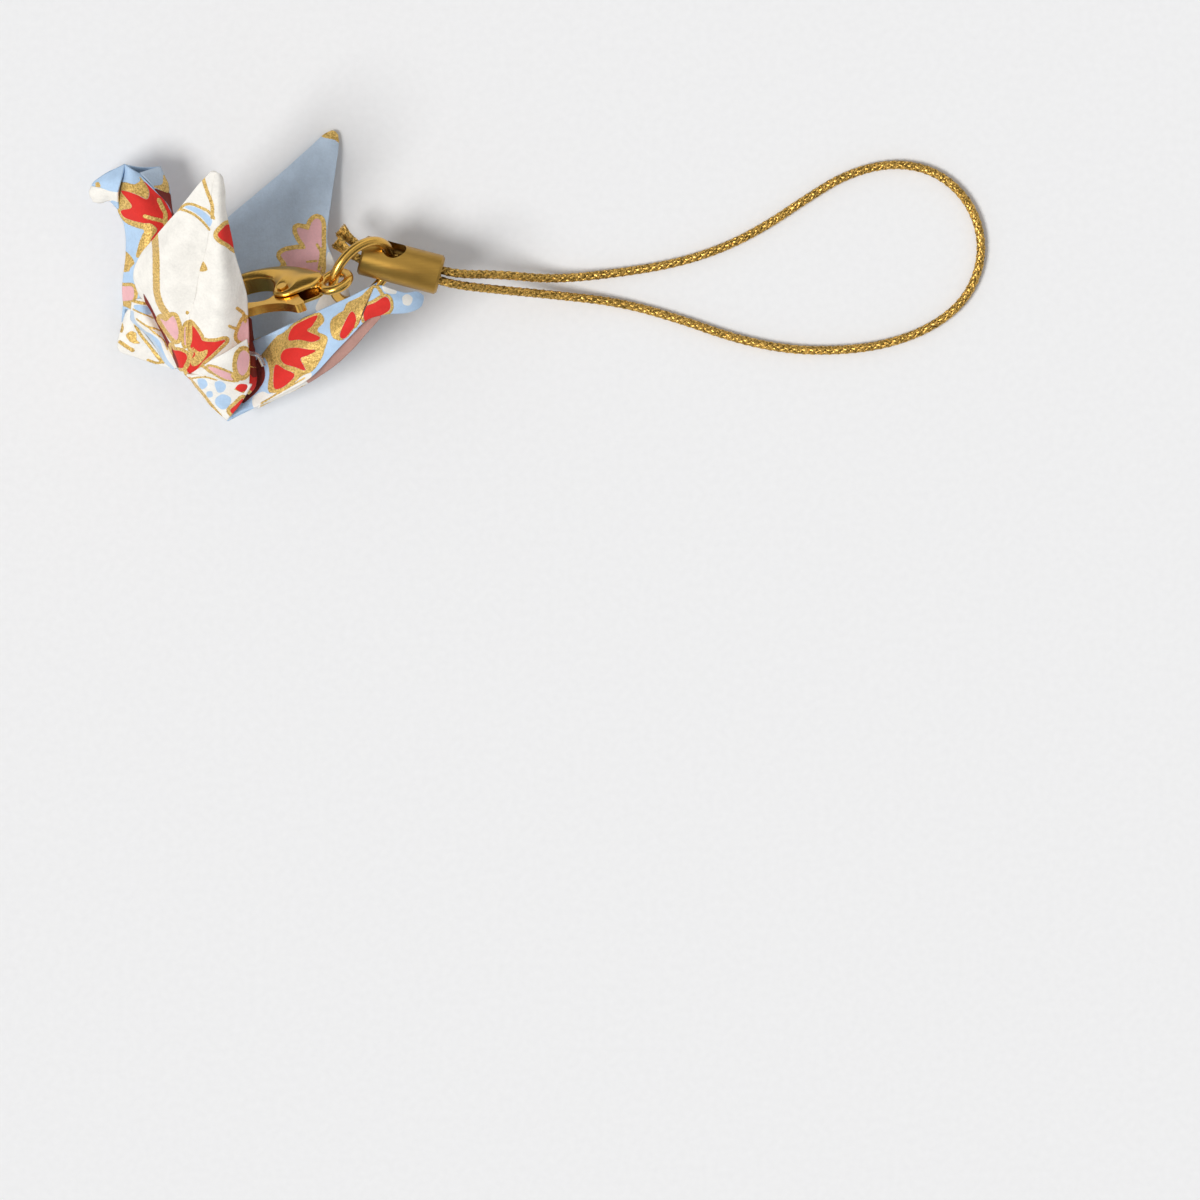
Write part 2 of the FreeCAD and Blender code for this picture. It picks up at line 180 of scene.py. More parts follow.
def line_distance(points, line, closed):
    """Distance in drawing units of every point from a line."""
    ends = np.roll(line, -1, axis=0) if closed else line[1:]
    starts = line if closed else line[:-1]
    nearest = np.full(len(points), 1e9)
    for a, b in zip(starts, ends):
        run = b - a
        share = np.clip(((points - a) @ run) / max(run @ run, 1e-9), 0, 1)
        nearest = np.minimum(nearest, np.hypot(*(points - a - share[:, None] * run).T))
    return nearest


def inside(points, line):
    """Which points lie inside a closed line."""
    result = np.zeros(len(points), bool)
    for a, b in zip(line, np.roll(line, -1, axis=0)):
        crosses = (a[1] > points[:, 1]) != (b[1] > points[:, 1])
        slope = (b[0] - a[0]) / (b[1] - a[1] if b[1] != a[1] else 1e-9)
        result ^= crosses & (points[:, 0] < a[0] + (points[:, 1] - a[1]) * slope)
    return result


def field(points, corners):
    """Signed distance in mm from a field of colour, above zero inside it."""
    line = closed_outline(corners)
    distance = line_distance(points, line, True)
    return np.where(inside(points, line), distance, -distance) / UNITS_PER_MM


def stroke(points, corners, width):
    """Signed distance in mm from a drawn line of a width in drawing units."""
    corners = np.asarray(corners, float)
    line = smooth_between(corners, len(corners) * 8)
    return (width / 2 - line_distance(points, line, False)) / UNITS_PER_MM


def printed(points, art):
    """Signed distance of every ink at the points of a panel."""
    flat = np.stack([points[..., 0].ravel() / MM * UNITS_PER_MM + DRAWING_ORIGIN[0],
                     DRAWING_ORIGIN[1] - points[..., 1].ravel() / MM * UNITS_PER_MM], -1)
    inks = {ink: np.full(len(flat), -1.0) for ink in INKS}
    for ink, form, *values in art:
        if form == "all":
            distance = np.full(len(flat), values[0] if values else 1.0)
        elif form == "stroke":
            distance = stroke(flat, values[0], values[1])
        else:
            distance = field(flat, values[0])
        if form == "rim":
            half = values[1] / 2 / UNITS_PER_MM
            inks["gold"] = np.maximum(inks["gold"], half - np.abs(distance + half))
        if form == "bare":
            inks[ink] = np.minimum(inks[ink], -distance)
        else:
            inks[ink] = np.maximum(inks[ink], distance)
    return inks


def crumpled(grid, height, seed):
    """Grid with the soft waves of handled paper."""
    along = np.gradient(grid, axis=0)
    across = np.gradient(grid, axis=1)
    normal = np.cross(across, along)
    normal /= np.maximum(np.linalg.norm(normal, axis=-1, keepdims=True), 1e-12)
    waves = np.empty(grid.shape[:2])
    shift = Vector((seed, seed * 0.37, seed * 0.71))
    for i in range(grid.shape[0]):
        for j in range(grid.shape[1]):
            spot = Vector(grid[i, j]) * 330.0 + shift
            waves[i, j] = noise.noise(spot) + 0.45 * noise.noise(spot * 2.3)
    return grid + normal * (waves[..., None] * height), normal


class SheetMesh:
    """Collects the panels of one piece of folded paper."""

    def __init__(self, settings):
        self.settings = settings
        self.points = []
        self.faces = []
        self.inks = {ink: [] for ink in INKS}
        self.count = 0
        self.seed = 3.0

    def panel(self, rows, art, thickness=1.0, coarse=1.0):
        """Add one panel as a closed thin sheet with its print and any painted shade."""
        self.seed += 7.3
        grid = sheet_grid(rows, self.settings.step * coarse)
        grid, normal = crumpled(grid, self.settings.crumple, self.seed)
        half = self.settings.thickness * thickness / 2
        inks = printed(grid, art)
        rows_count, columns = grid.shape[:2]
        index = np.arange(rows_count * columns).reshape(rows_count, columns) + self.count
        lower = index + rows_count * columns
        self.points += [(grid + normal * half).reshape(-1, 3), (grid - normal * half).reshape(-1, 3)]
        quads = [index[:-1, :-1], index[:-1, 1:], index[1:, 1:], index[1:, :-1]]
        back = [lower[:-1, :-1], lower[1:, :-1], lower[1:, 1:], lower[:-1, 1:]]
        self.faces += [np.stack([q.ravel() for q in quads], -1), np.stack([q.ravel() for q in back], -1)]
        rim = np.concatenate([index[0, :], index[1:, -1], index[-1, -2::-1], index[-2:0:-1, 0]])
        under = rim + rows_count * columns
        self.faces.append(np.stack([rim, under, np.roll(under, -1), np.roll(rim, -1)], -1))
        for ink in INKS:
            self.inks[ink] += [inks[ink], inks[ink]]
        self.count += 2 * rows_count * columns

    def finish(self, name, material):
        """Make the collected panels one object that stands for the folded sheet."""
        mesh = bpy.data.meshes.new(name)
        points = np.concatenate(self.points)
        faces = np.concatenate(self.faces)
        mesh.from_pydata(points.tolist(), [], faces.tolist())
        for ink in INKS:
            layer = mesh.attributes.new("ink_" + ink, "FLOAT", "POINT")
            layer.data.foreach_set("value", np.concatenate(self.inks[ink]).astype(np.float32))
        mesh.polygons.foreach_set("use_smooth", [True] * len(mesh.polygons))
        mesh.materials.append(material)
        mesh.update()
        piece = bpy.data.objects.new(name, mesh)
        bpy.context.collection.objects.link(piece)
        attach(piece, "crane")
        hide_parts("paper_crane")
        return piece


# shader groups and materials

def node(tree, kind, inputs=None, **settings):
    """Add a shader node with its values and links."""
    new = tree.nodes.new(kind)
    for key, value in settings.items():
        setattr(new, key, value)
    for key, value in (inputs or {}).items():
        socket = new.inputs[key]
        if isinstance(value, bpy.types.NodeSocket):
            tree.links.new(value, socket)
        else:
            socket.default_value = value
    return new


def math_node(tree, operation, first, second=0.0, clamp=False):
    """Result of one sum in a node tree."""
    return node(tree, "ShaderNodeMath", {0: first, 1: second}, operation=operation,
                use_clamp=clamp).outputs[0]


def mixed(tree, share, first, second):
    """One colour mixed into another."""
    blend = node(tree, "ShaderNodeMix", data_type="RGBA")
    for socket, value in zip((blend.inputs[0], blend.inputs[6], blend.inputs[7]), (share, first, second)):
        if isinstance(value, bpy.types.NodeSocket):
            tree.links.new(value, socket)
        else:
            socket.default_value = value
    return blend.outputs[2]


def four(colour):
    """Colour with its alpha."""
    return (*colour, 1.0)


def new_group(name, inputs, outputs):
    """Empty shader group with named sockets; gives the tree and its two ends."""
    tree = bpy.data.node_groups.new(name, "ShaderNodeTree")
    for label, kind, default in inputs:
        socket = tree.interface.new_socket(label, in_out="INPUT", socket_type=kind)
        if default is not None:
            socket.default_value = default
    for label, kind in outputs:
        tree.interface.new_socket(label, in_out="OUTPUT", socket_type=kind)
    return tree, tree.nodes.new("NodeGroupInput"), tree.nodes.new("NodeGroupOutput")


def paper_fibre_group():
    """Fibres, mottling and height of soft handmade paper."""
    tree, start, end = new_group(
        "paper fibres",
        [("Scale", "NodeSocketFloat", 1.0)],
        [("Mottling", "NodeSocketFloat"), ("Height", "NodeSocketFloat")])
    spot = node(tree, "ShaderNodeTexCoord").outputs["Object"]
    scaled = node(tree, "ShaderNodeVectorMath", {0: spot, 3: start.outputs["Scale"]},
                  operation="SCALE").outputs[0]
    fine = node(tree, "ShaderNodeTexNoise", {"Vector": scaled, "Scale": 5200.0, "Detail": 3.0,
                                             "Roughness": 0.6})
    soft = node(tree, "ShaderNodeTexNoise", {"Vector": scaled, "Scale": 900.0, "Detail": 4.0,
                                             "Roughness": 0.55})
    turned = node(tree, "ShaderNodeMapping", {"Vector": scaled, "Rotation": (0.3, 0.2, 0.7),
                                              "Scale": (7000.0, 900.0, 2500.0)}).outputs[0]
    fibre = node(tree, "ShaderNodeTexNoise", {"Vector": turned, "Scale": 1.0, "Detail": 2.0,
                                              "Distortion": 1.2})
    height = math_node(tree, "ADD", math_node(tree, "MULTIPLY", fine.outputs[0], 0.5),
                       math_node(tree, "MULTIPLY", fibre.outputs[0], 0.7))
    tree.links.new(math_node(tree, "ADD", height, math_node(tree, "MULTIPLY", soft.outputs[0], 0.9)),
                   end.inputs["Height"])
    tone = math_node(tree, "ADD", math_node(tree, "MULTIPLY", soft.outputs[0], 0.6),
                     math_node(tree, "MULTIPLY", fine.outputs[0], 0.4))
    tree.links.new(tone, end.inputs["Mottling"])
    return tree


def ink_group():
    """Share of one ink at a point, from its distance to the ink's edge."""
    tree, start, end = new_group(
        "ink edge",
        [("Distance", "NodeSocketFloat", 0.0), ("Softness", "NodeSocketFloat", 0.03),
         ("Raggedness", "NodeSocketFloat", 0.02)],
        [("Share", "NodeSocketFloat")])
    spot = node(tree, "ShaderNodeTexCoord").outputs["Object"]
    rough = node(tree, "ShaderNodeTexNoise", {"Vector": spot, "Scale": 7000.0, "Detail": 2.0})
    wander = math_node(tree, "MULTIPLY", math_node(tree, "SUBTRACT", rough.outputs[0], 0.5),
                       start.outputs["Raggedness"])
    moved = math_node(tree, "ADD", start.outputs["Distance"], math_node(tree, "MULTIPLY", wander, 2.0))
    share = math_node(tree, "ADD", math_node(tree, "DIVIDE", moved, start.outputs["Softness"]), 0.5,
                      clamp=True)
    tree.links.new(share, end.inputs["Share"])
    return tree


def glitter_group():
    """Grains of metallic ink or metal thread."""
    tree, start, end = new_group(
        "metal grains",
        [("Dark", "NodeSocketColor", four((0.3, 0.14, 0.03))),
         ("Bright", "NodeSocketColor", four((0.95, 0.7, 0.3))),
         ("Grain scale", "NodeSocketFloat", 7000.0)],
        [("Colour", "NodeSocketColor"), ("Height", "NodeSocketFloat")])
    spot = node(tree, "ShaderNodeTexCoord").outputs["Object"]
    cells = node(tree, "ShaderNodeTexVoronoi", {"Vector": spot, "Scale": start.outputs["Grain scale"]})
    level = node(tree, "ShaderNodeSeparateColor", {0: cells.outputs["Color"]}).outputs[0]
    tree.links.new(mixed(tree, level, start.outputs["Dark"], start.outputs["Bright"]), end.inputs["Colour"])
    tree.links.new(math_node(tree, "SUBTRACT", level, cells.outputs["Distance"]), end.inputs["Height"])
    return tree


def wear_group():
    """Fine scratches and cloudy dullness of handled metal."""
    tree, start, end = new_group(
        "metal wear",
        [("Amount", "NodeSocketFloat", 1.0)],
        [("Dullness", "NodeSocketFloat"), ("Height", "NodeSocketFloat")])
    spot = node(tree, "ShaderNodeTexCoord").outputs["Object"]
    cloud = node(tree, "ShaderNodeTexNoise", {"Vector": spot, "Scale": 700.0, "Detail": 5.0,
                                              "Roughness": 0.65})
    stretched = node(tree, "ShaderNodeMapping", {"Vector": spot, "Rotation": (0.2, 0.5, 0.4),
                                                 "Scale": (600.0, 9000.0, 5000.0)}).outputs[0]
    scratch = node(tree, "ShaderNodeTexNoise", {"Vector": stretched, "Scale": 1.0, "Detail": 2.0})
    both = math_node(tree, "ADD", math_node(tree, "MULTIPLY", cloud.outputs[0], 0.6),
                     math_node(tree, "MULTIPLY", scratch.outputs[0], 0.4))
    tree.links.new(math_node(tree, "MULTIPLY", both, start.outputs["Amount"]), end.inputs["Dullness"])
    tree.links.new(both, end.inputs["Height"])
    return tree


def use_group(tree, group, inputs=None):
    """Place a shader group in a material."""
    placed = tree.nodes.new("ShaderNodeGroup")
    placed.node_tree = group
    for key, value in (inputs or {}).items():
        if isinstance(value, bpy.types.NodeSocket):
            tree.links.new(value, placed.inputs[key])
        else:
            placed.inputs[key].default_value = value
    return placed


def new_material(name):
    """Empty material; gives it, its tree and its shader."""
    material = bpy.data.materials.new(name)
    material.use_nodes = True
    tree = material.node_tree
    return material, tree, tree.nodes["Principled BSDF"]


def bump(tree, height, distance, strength=1.0, normal=None):
    """Normal changed by a height in metres times distance."""
    inputs = {"Height": height, "Distance": distance, "Strength": strength}
    if normal is not None:
        inputs["Normal"] = normal
    return node(tree, "ShaderNodeBump", inputs).outputs[0]


def printed_paper_material(groups, settings):
    """Soft paper with flat print, painted shade and raised metallic gold lines."""
    material, tree, shader = new_material("printed washi paper")
    fibres = use_group(tree, groups["fibre"], {"Scale": 1.0})
    ink = {}
    for name in INKS:
        distance = node(tree, "ShaderNodeAttribute", attribute_name="ink_" + name).outputs["Fac"]
        ragged = 0.05 if name == "gold" else 0.02
        ink[name] = use_group(tree, groups["ink"], {"Distance": distance,
                                                    "Raggedness": ragged}).outputs["Share"]
    colour = four(settings.cream)
    for name in INKS[:-1]:
        colour = mixed(tree, ink[name], colour, four(getattr(settings, name)))
    tone = math_node(tree, "ADD", math_node(tree, "MULTIPLY", fibres.outputs["Mottling"], 0.5), 0.75)
    toned = node(tree, "ShaderNodeVectorMath", {0: colour, 3: tone}, operation="SCALE").outputs[0]
    gold = settings.gold
    grains = use_group(tree, groups["glitter"], {
        "Dark": four([c * 0.62 for c in gold]), "Bright": four([min(1.0, c * 1.2 + 0.07) for c in gold]),
        "Grain scale": 9000.0})
    tree.links.new(mixed(tree, ink["gold"], toned, grains.outputs["Colour"]), shader.inputs["Base Color"])
    tree.links.new(math_node(tree, "MULTIPLY", ink["gold"], 0.35), shader.inputs["Metallic"])
    tree.links.new(math_node(tree, "SUBTRACT", 0.78, math_node(tree, "MULTIPLY", ink["gold"], 0.38)),
                   shader.inputs["Roughness"])
    raised = math_node(tree, "ADD", ink["gold"], math_node(tree, "MULTIPLY", math_node(
        tree, "MULTIPLY", grains.outputs["Height"], ink["gold"]), 0.8))
    base = bump(tree, fibres.outputs["Height"], 0.000035)
    tree.links.new(bump(tree, raised, 0.00003, normal=base), shader.inputs["Normal"])
    shader.inputs["Specular IOR Level"].default_value = 0.3
    return material


def gold_metal_material(groups, settings, name, roughness, wear, tone=1.0):
    """Gold plate with fine wear, lighter or darker by its tone."""
    plate = [min(1.0, c * tone) for c in settings.colour]
    material, tree, shader = new_material(name)
    worn = use_group(tree, groups["wear"], {"Amount": wear})
    shade = mixed(tree, worn.outputs["Dullness"], four(plate), four([c * 0.55 for c in plate]))
    tree.links.new(shade, shader.inputs["Base Color"])
    tree.links.new(math_node(tree, "ADD", math_node(tree, "MULTIPLY", worn.outputs["Dullness"], 0.28),
                             roughness),
                   shader.inputs["Roughness"])
    tree.links.new(bump(tree, worn.outputs["Height"], 0.00002, 0.6), shader.inputs["Normal"])
    shader.inputs["Metallic"].default_value = 1.0
    return material


def metal_thread_material(groups, settings):
    """Metallic thread, bright where its flat filaments catch the light."""
    material, tree, shader = new_material("metallic gold thread")
    colour = settings.colour
    grains = use_group(tree, groups["glitter"], {
        "Dark": four([c * 0.35 for c in colour]), "Bright": four([min(1.0, c * 1.9 + 0.05) for c in colour]),
        "Grain scale": 8000.0})
    tree.links.new(grains.outputs["Colour"], shader.inputs["Base Color"])
    tree.links.new(bump(tree, grains.outputs["Height"], 0.00002, 0.8), shader.inputs["Normal"])
    shader.inputs["Metallic"].default_value = 0.85
    shader.inputs["Roughness"].default_value = 0.32
    return material


def clear_thread_material():
    """Clear nylon with faint draw marks."""
    material, tree, shader = new_material("clear nylon")
    spot = node(tree, "ShaderNodeTexCoord").outputs["Object"]
    marks = node(tree, "ShaderNodeTexNoise", {"Vector": spot, "Scale": 4000.0, "Detail": 2.0})
    tree.links.new(bump(tree, marks.outputs[0], 0.00001, 0.5), shader.inputs["Normal"])
    tree.links.new(mixed(tree, marks.outputs[0], four((0.95, 0.95, 0.94)), four((0.85, 0.86, 0.87))),
                   shader.inputs["Base Color"])
    shader.inputs["Transmission Weight"].default_value = 0.85
    shader.inputs["Roughness"].default_value = 0.12
    shader.inputs["IOR"].default_value = 1.5
    return material


materials = {}


def make_materials():
    """Build every material once."""
    if materials:
        return materials
    scene = bpy.context.scene
    groups = {"fibre": paper_fibre_group(), "ink": ink_group(), "glitter": glitter_group(),
              "wear": wear_group()}
    metal = scene.crane_metal
    materials["paper"] = printed_paper_material(groups, scene.crane_paper)
    materials["metal"] = gold_metal_material(groups, metal, "polished gold plate", metal.roughness, 0.6,
                                              tone=1.12)
    materials["sleeve"] = gold_metal_material(groups, metal, "rubbed gold plate", metal.roughness + 0.08, 1.0,
                                               tone=0.74)
    materials["wire"] = gold_metal_material(groups, metal, "drawn spring wire", 0.3, 0.8)
    materials["thread"] = metal_thread_material(groups, scene.crane_cord)
    materials["nylon"] = clear_thread_material()
    return materials


# the print and the painted shade, as fields of colour on each panel

WING_PRINT = [
    ("gold", "stroke", [(206, 180), (210, 193), (215, 207), (215, 219)], 3.6),
    ("gold", "stroke", [(180, 212), (188, 206.5), (195, 206), (203, 209), (211, 213), (217, 220)], 2.6),
    ("gold", "stroke", [(180, 210), (190, 213), (198, 217), (205, 223), (212, 231)], 2.4),
    ("blue", "field", [(187, 208.5), (195, 208), (203, 211), (210, 216), (215, 222), (212, 228), (205, 220),
                       (197, 214)]),
    ("red", "rim", [(220, 236), (224, 230), (229, 226), (238, 229), (238, 250), (229, 245), (223, 241)], 4.0),
    ("gold", "field", [(205.4, 262.5), (209.9, 271), (201.9, 272)]),
    ("gold", "stroke", [(157, 236), (158.5, 256), (158.5, 275), (159, 293), (163, 306), (169, 315)], 7.0),
    ("pink", "rim", [(162, 318.6), (168, 321.6), (174.5, 316.5), (178, 321.6), (180, 331), (179.5, 338),
                     (177.5, 340), (173, 335.6), (167, 327.4)], 4.2),
    ("red", "rim", [(173, 346), (175.5, 350), (182, 351), (188.5, 355.5), (187, 366), (181, 368),
                    (176, 363)], 3.2),
    ("pink", "rim", [(186, 328.6), (190.6, 324), (190.4, 342), (186, 344.5)], 3.0),
    ("red", "rim", [(191, 324), (197, 328.5), (202, 336), (205, 341), (216, 342), (227, 340), (221, 347),
                    (213, 355),
                    (205, 362), (197, 371), (191, 374), (188, 369), (191, 362), (195, 353), (191, 344)], 3.4),
    ("gold", "field", [(194, 347), (201, 352), (209, 350), (208, 356), (201, 364), (194, 366), (192, 360),
                       (197, 355)]),
    ("pink", "rim", [(240, 329), (246, 319), (253, 325), (253, 342), (243, 342), (238, 338)], 3.6),
    ("gold", "stroke", [(238, 309), (244, 314), (246, 322)], 3.4),
    ("gold", "stroke", [(230, 326.5), (238, 330)], 3.0),
    ("gold", "field", [(188.5, 311), (191, 313), (189, 315), (187, 313)]),
    # Painted shade: band under the wing's curled left edge, red print darkened where shade falls.
    ("wine", "field", [(145, 294), (151, 303), (157, 315), (166, 333), (172.5, 345), (180, 364), (178, 368),
                       (164.5, 340), (150, 312)]),
]

FLAP_PRINT = [
    ("pink", "rim", [(239, 357), (244, 351), (250, 356), (248, 370), (242, 376), (238, 368)], 4.6),
    ("pink", "rim", [(210, 367.5), (220, 369), (235, 375.5), (235, 380), (227, 379), (216, 373)], 2.2),
    ("gold", "stroke", [(199, 365), (205, 367), (212, 372)], 3.0),
    ("gold", "field", [(232, 376), (238, 373), (243, 377), (238, 382)]),
]

STRIP_PRINT = [
    ("red", "all"),
    # Painted shade: the strip's top under the wing's right edge, red print darkened where the wing shades it.
    ("wine", "field", [(236, 312), (262, 312), (262, 366), (254, 378), (247, 370), (240, 366)]),
    ("gold", "stroke", [(243, 367), (256, 368)], 1.2),
    ("gold", "stroke", [(228, 378), (233, 388), (241, 394), (250, 392)], 4.0),
]

BODY_PRINT = [
    ("blue", "field", [(199, 380), (206, 379), (209, 385), (203, 389)]),
    ("blue", "field", [(216, 383), (222, 381), (227, 385), (225, 391), (219, 392)]),
    ("blue", "field", [(217, 398), (224, 394), (232, 398), (230, 406), (223, 409), (217, 404)]),
    ("blue", "field", [(208, 392), (213, 391), (214, 396), (209, 397)]),
    ("gold", "stroke", [(191, 378), (204, 393), (213, 405), (222, 416)], 3.0),
    ("red", "rim", [(231, 410), (237, 404), (244, 398), (243, 407), (236, 414)], 3.6),
    ("gold", "stroke", [(192, 378.5), (206, 377), (218, 380)], 1.6),
]

CHEST_FLAP_PRINT = [
    ("blue", "field", [(135.5, 305.5), (147, 307), (152, 313), (147.5, 315.3), (138.5, 311.8)]),
    ("gold", "stroke", [(134, 301), (142, 303.5), (150, 305)], 3.0),
    ("gold", "stroke", [(134.5, 309.5), (145, 315), (153.5, 318.8)], 1.5),
    ("gold", "stroke", [(138, 319), (148.5, 326.3), (161, 331.5)], 1.7),
    ("gold", "stroke", [(148.5, 326.3), (156.6, 334), (164, 341), (168, 350)], 1.2),
    ("blue", "field", [(141, 327), (147, 331), (154, 334.5), (160.5, 340.5), (164, 349), (168, 358),
                       (174, 367),
                       (166, 359), (158, 348), (150, 338), (143, 331)]),
    # Painted shade: slate stroke darkening the inner fold of the chest flap.
    ("shade", "stroke", [(133, 313), (134.5, 321), (141, 328.5), (150, 337), (157, 347), (165, 359),
                         (173, 368)], 4.6),
]

CHEST_PRINT = [
    ("gold", "field", [(127, 335), (132, 331), (136.6, 333.5), (137.2, 339.8), (141, 343.5), (133.7, 343),
                       (129, 339.5)]),
    ("gold", "stroke", [(122.5, 324), (123.5, 328.5), (122.5, 331.5)], 3.0),
    ("gold", "stroke", [(121, 342), (127.3, 346.2), (133.5, 350)], 3.8),
    ("gold", "stroke", [(148.4, 359.5), (157.8, 362.6), (164, 361)], 2.6),
    ("gold", "stroke", [(135.5, 325), (141.3, 335.1), (150, 346.2), (157.8, 356.2), (164, 362)], 3.2),
]

NECK_PRINT = [
    ("blue", "all"),
    ("gold", "field", [(118, 192), (118, 184), (127, 183.2), (135, 185.4), (140.5, 182), (140, 178),
                       (146, 184.5),
                       (149, 190), (149.4, 197), (147, 200.5), (138, 196.3), (128, 192.3), (124, 193),
                       (131, 201),
                       (133.4, 206), (132, 209), (122.5, 211.3), (118, 211)]),
    ("gold", "field", [(118, 208), (122, 217), (128, 223.6), (137.6, 228), (145.4, 230.6), (143.3, 236.4),
                       (140, 245.3), (137.5, 257), (142, 257), (148, 249), (153, 243), (158, 236), (163, 229),
                       (152, 222), (144.6, 221), (132.5, 218), (125, 214), (122, 208)]),
    ("red", "field", [(122.4, 191.7), (128.6, 192), (138.2, 196), (146.8, 200.3), (149.6, 197), (149, 190),
                      (144, 182), (150, 187), (157.5, 194), (164, 200), (169, 208), (174, 220), (167, 227),
                      (160.5, 233.5), (150.5, 242.5), (153.5, 237), (157.6, 230), (151.6, 224.2),
                      (144.6, 223.6),
                      (132.5, 220.4), (124.8, 216.6), (122.3, 210.8), (131.8, 208.6), (133, 205.5),
                      (128.6, 199.5)]),
    ("gold", "bare", [(122.4, 191.7), (128.6, 192), (138.2, 196), (146.8, 200.3), (149.6, 197), (149, 190),
                      (144, 182), (150, 187), (157.5, 194), (164, 200), (169, 208), (174, 220), (167, 227),
                      (160.5, 233.5), (150.5, 242.5), (153.5, 237), (157.6, 230), (151.6, 224.2),
                      (144.6, 223.6),
                      (132.5, 220.4), (124.8, 216.6), (122.3, 210.8), (131.8, 208.6), (133, 205.5),
                      (128.6, 199.5)]),
    ("gold", "stroke", [(159.3, 201), (162.6, 208), (165.6, 214), (165.8, 220), (166, 225)], 4.4),
    ("gold", "stroke", [(146, 216.6), (151.6, 218.5), (159.3, 220.6), (166, 222.3)], 3.8),
    ("gold", "field", [(124, 252), (130, 254), (136, 263), (132, 268), (130, 272), (121, 270)]),
    ("pink", "rim", [(119, 288), (127, 286.5), (134.5, 288), (134.5, 299), (127, 301), (119, 299.5)], 3.4),
    ("gold", "stroke", [(120, 303), (128, 305), (134, 308)], 4.6),
]

PEAK_PRINT = [
    # Painted shade: the peak in slate and its red print darkened, for the facet turned away from the lamp.
    ("shade", "all"),
    ("wine", "field", [(155, 190.5), (161, 191.5), (168, 192.5), (172, 200), (178, 222), (170, 240),
                       (164, 220),
                       (160, 202)]),
    ("gold", "field", [(153.5, 187.4), (158.6, 186.4), (162.5, 184), (163.5, 175), (168, 184), (168.5, 193),
                       (161, 191.4)]),
]

HEAD_PRINT = [
    ("blue", "all"),
    ("gold", "field", [(97, 183.5), (100.5, 183), (102, 187), (97.5, 187)]),
]

BEAK_PRINT = [("blue", "field", [(112, 201), (120, 203), (130, 212), (116, 214)])]

FAR_WING_PRINT = [
    # Painted shade: the far wing's light blue paper in slate, as in the near wing's shadow; the bare field
    # leaves the cream layer unshaded.
    ("shade", "all"),
    ("pink", "rim", [(284, 271), (287.5, 265), (281.5, 256), (286, 252), (296, 250), (306, 248.5), (299, 236),
                     (297.5, 228.5), (303.5, 229), (309, 230), (312.5, 222), (317, 219), (321.5, 223),
                     (322, 240),
                     (322, 258), (320, 274), (300, 276)], 4.6),
    ("gold", "stroke", [(317.5, 245.5), (321.5, 254), (319.5, 270)], 3.0),
    ("gold", "stroke", [(307.6, 262.4), (317, 261.6)], 2.4),
    ("gold", "field", [(322, 137), (328, 130), (341, 128), (341, 144), (334, 140)]),
    ("shade", "bare", [(328, 254), (336, 262), (350, 280), (366, 294), (360, 312), (318, 312), (324, 290)]),
]

TAIL_PRINT = [
    ("blue", "all"),
    # Painted shade: dark red at the tail's left end, in the shadow between the strip and the tail.
    ("wine", "field", [(240, 336), (256, 345), (264, 362), (266, 380), (252, 398), (236, 402)]),
    ("blue", "bare", [(254, 398), (264, 392), (272, 394), (290, 387), (306, 372), (312, 378), (284, 402),
                      (258, 410)]),
    ("blue", "bare", [(353, 303), (362, 298), (373, 294), (372, 300), (360, 307)]),
    ("gold", "field", [(253, 343), (269, 339), (284, 334), (297, 323), (310, 317), (321, 314), (326, 322),
                       (319, 332), (329, 338), (326, 350), (322, 360), (314, 371), (302, 377), (287, 390),
                       (270, 392), (271, 372), (266, 358), (256, 352)]),
    ("pink", "rim", [(255, 342), (266, 341), (272, 349), (266, 356), (257, 354)], 2.4),
    *[(ink, form, petal) for petal in (
        [(290, 341), (293.5, 329), (305, 321.5), (319, 316.5), (314, 327), (309, 332), (322, 338.5),
         (314, 343),
         (301, 341)],
        [(282, 358), (286, 350.5), (297, 348.5), (309, 350), (318, 351), (309, 356), (302, 359), (305, 366),
         (306.5, 371), (296, 367.5), (286, 364.5)],
        [(275.4, 388), (275, 374), (277.4, 365), (286.3, 369.5), (296, 375), (289, 384), (281, 389)],
    ) for ink, form in (("red", "field"), ("gold", "bare"))],
    ("gold", "field", [(332, 323), (340, 315), (345, 312), (349, 304.5), (362, 298), (373, 288), (384, 283),
                       (386, 299), (392, 301), (392, 310), (374, 319), (358, 327), (346, 340), (334, 338)]),
    *[(ink, form, [(341, 336), (346, 324), (352.4, 313.5), (356.5, 315), (359.5, 321), (372, 310), (387, 300),
                   (392, 305), (390, 313), (372, 320), (356, 328), (346, 339)])
      for ink, form in (("red", "field"), ("gold", "bare"))],
    ("gold", "stroke", [(357, 327), (362, 314), (369, 309)], 3.0),
    ("gold", "stroke", [(262, 404), (284, 391), (306, 378)], 1.6),
]

TAIL_TIP_PRINT = [
    ("blue", "all"),
    ("blue", "bare", [(403, 299), (408, 296), (413, 300), (410, 306), (404, 305)]),
    ("blue", "bare", [(384, 288), (396, 291), (396, 296), (386, 294)]),
    ("red", "rim", [(366, 309), (376, 304), (386, 298.5), (391, 303), (390, 311), (378, 318), (366, 322)],
     3.0),
    ("gold", "stroke", [(373, 288), (379, 289), (384, 297)], 3.4),
]

TAIL_UNDER_PRINT = [
    # Painted shade: the under layer's pink darkened and a slate patch, where the upper layer shades it.
    ("rose", "field", [(318, 350), (372, 310), (392, 324), (352, 362), (322, 384), (306, 378)]),
    ("shade", "field", [(372, 324), (388, 310), (396, 326), (374, 340)]),
    ("gold", "stroke", [(262, 406), (284, 398), (306, 386)], 3.0),
]

PLAIN_BLUE = [("blue", "all")]


# the folded sheet

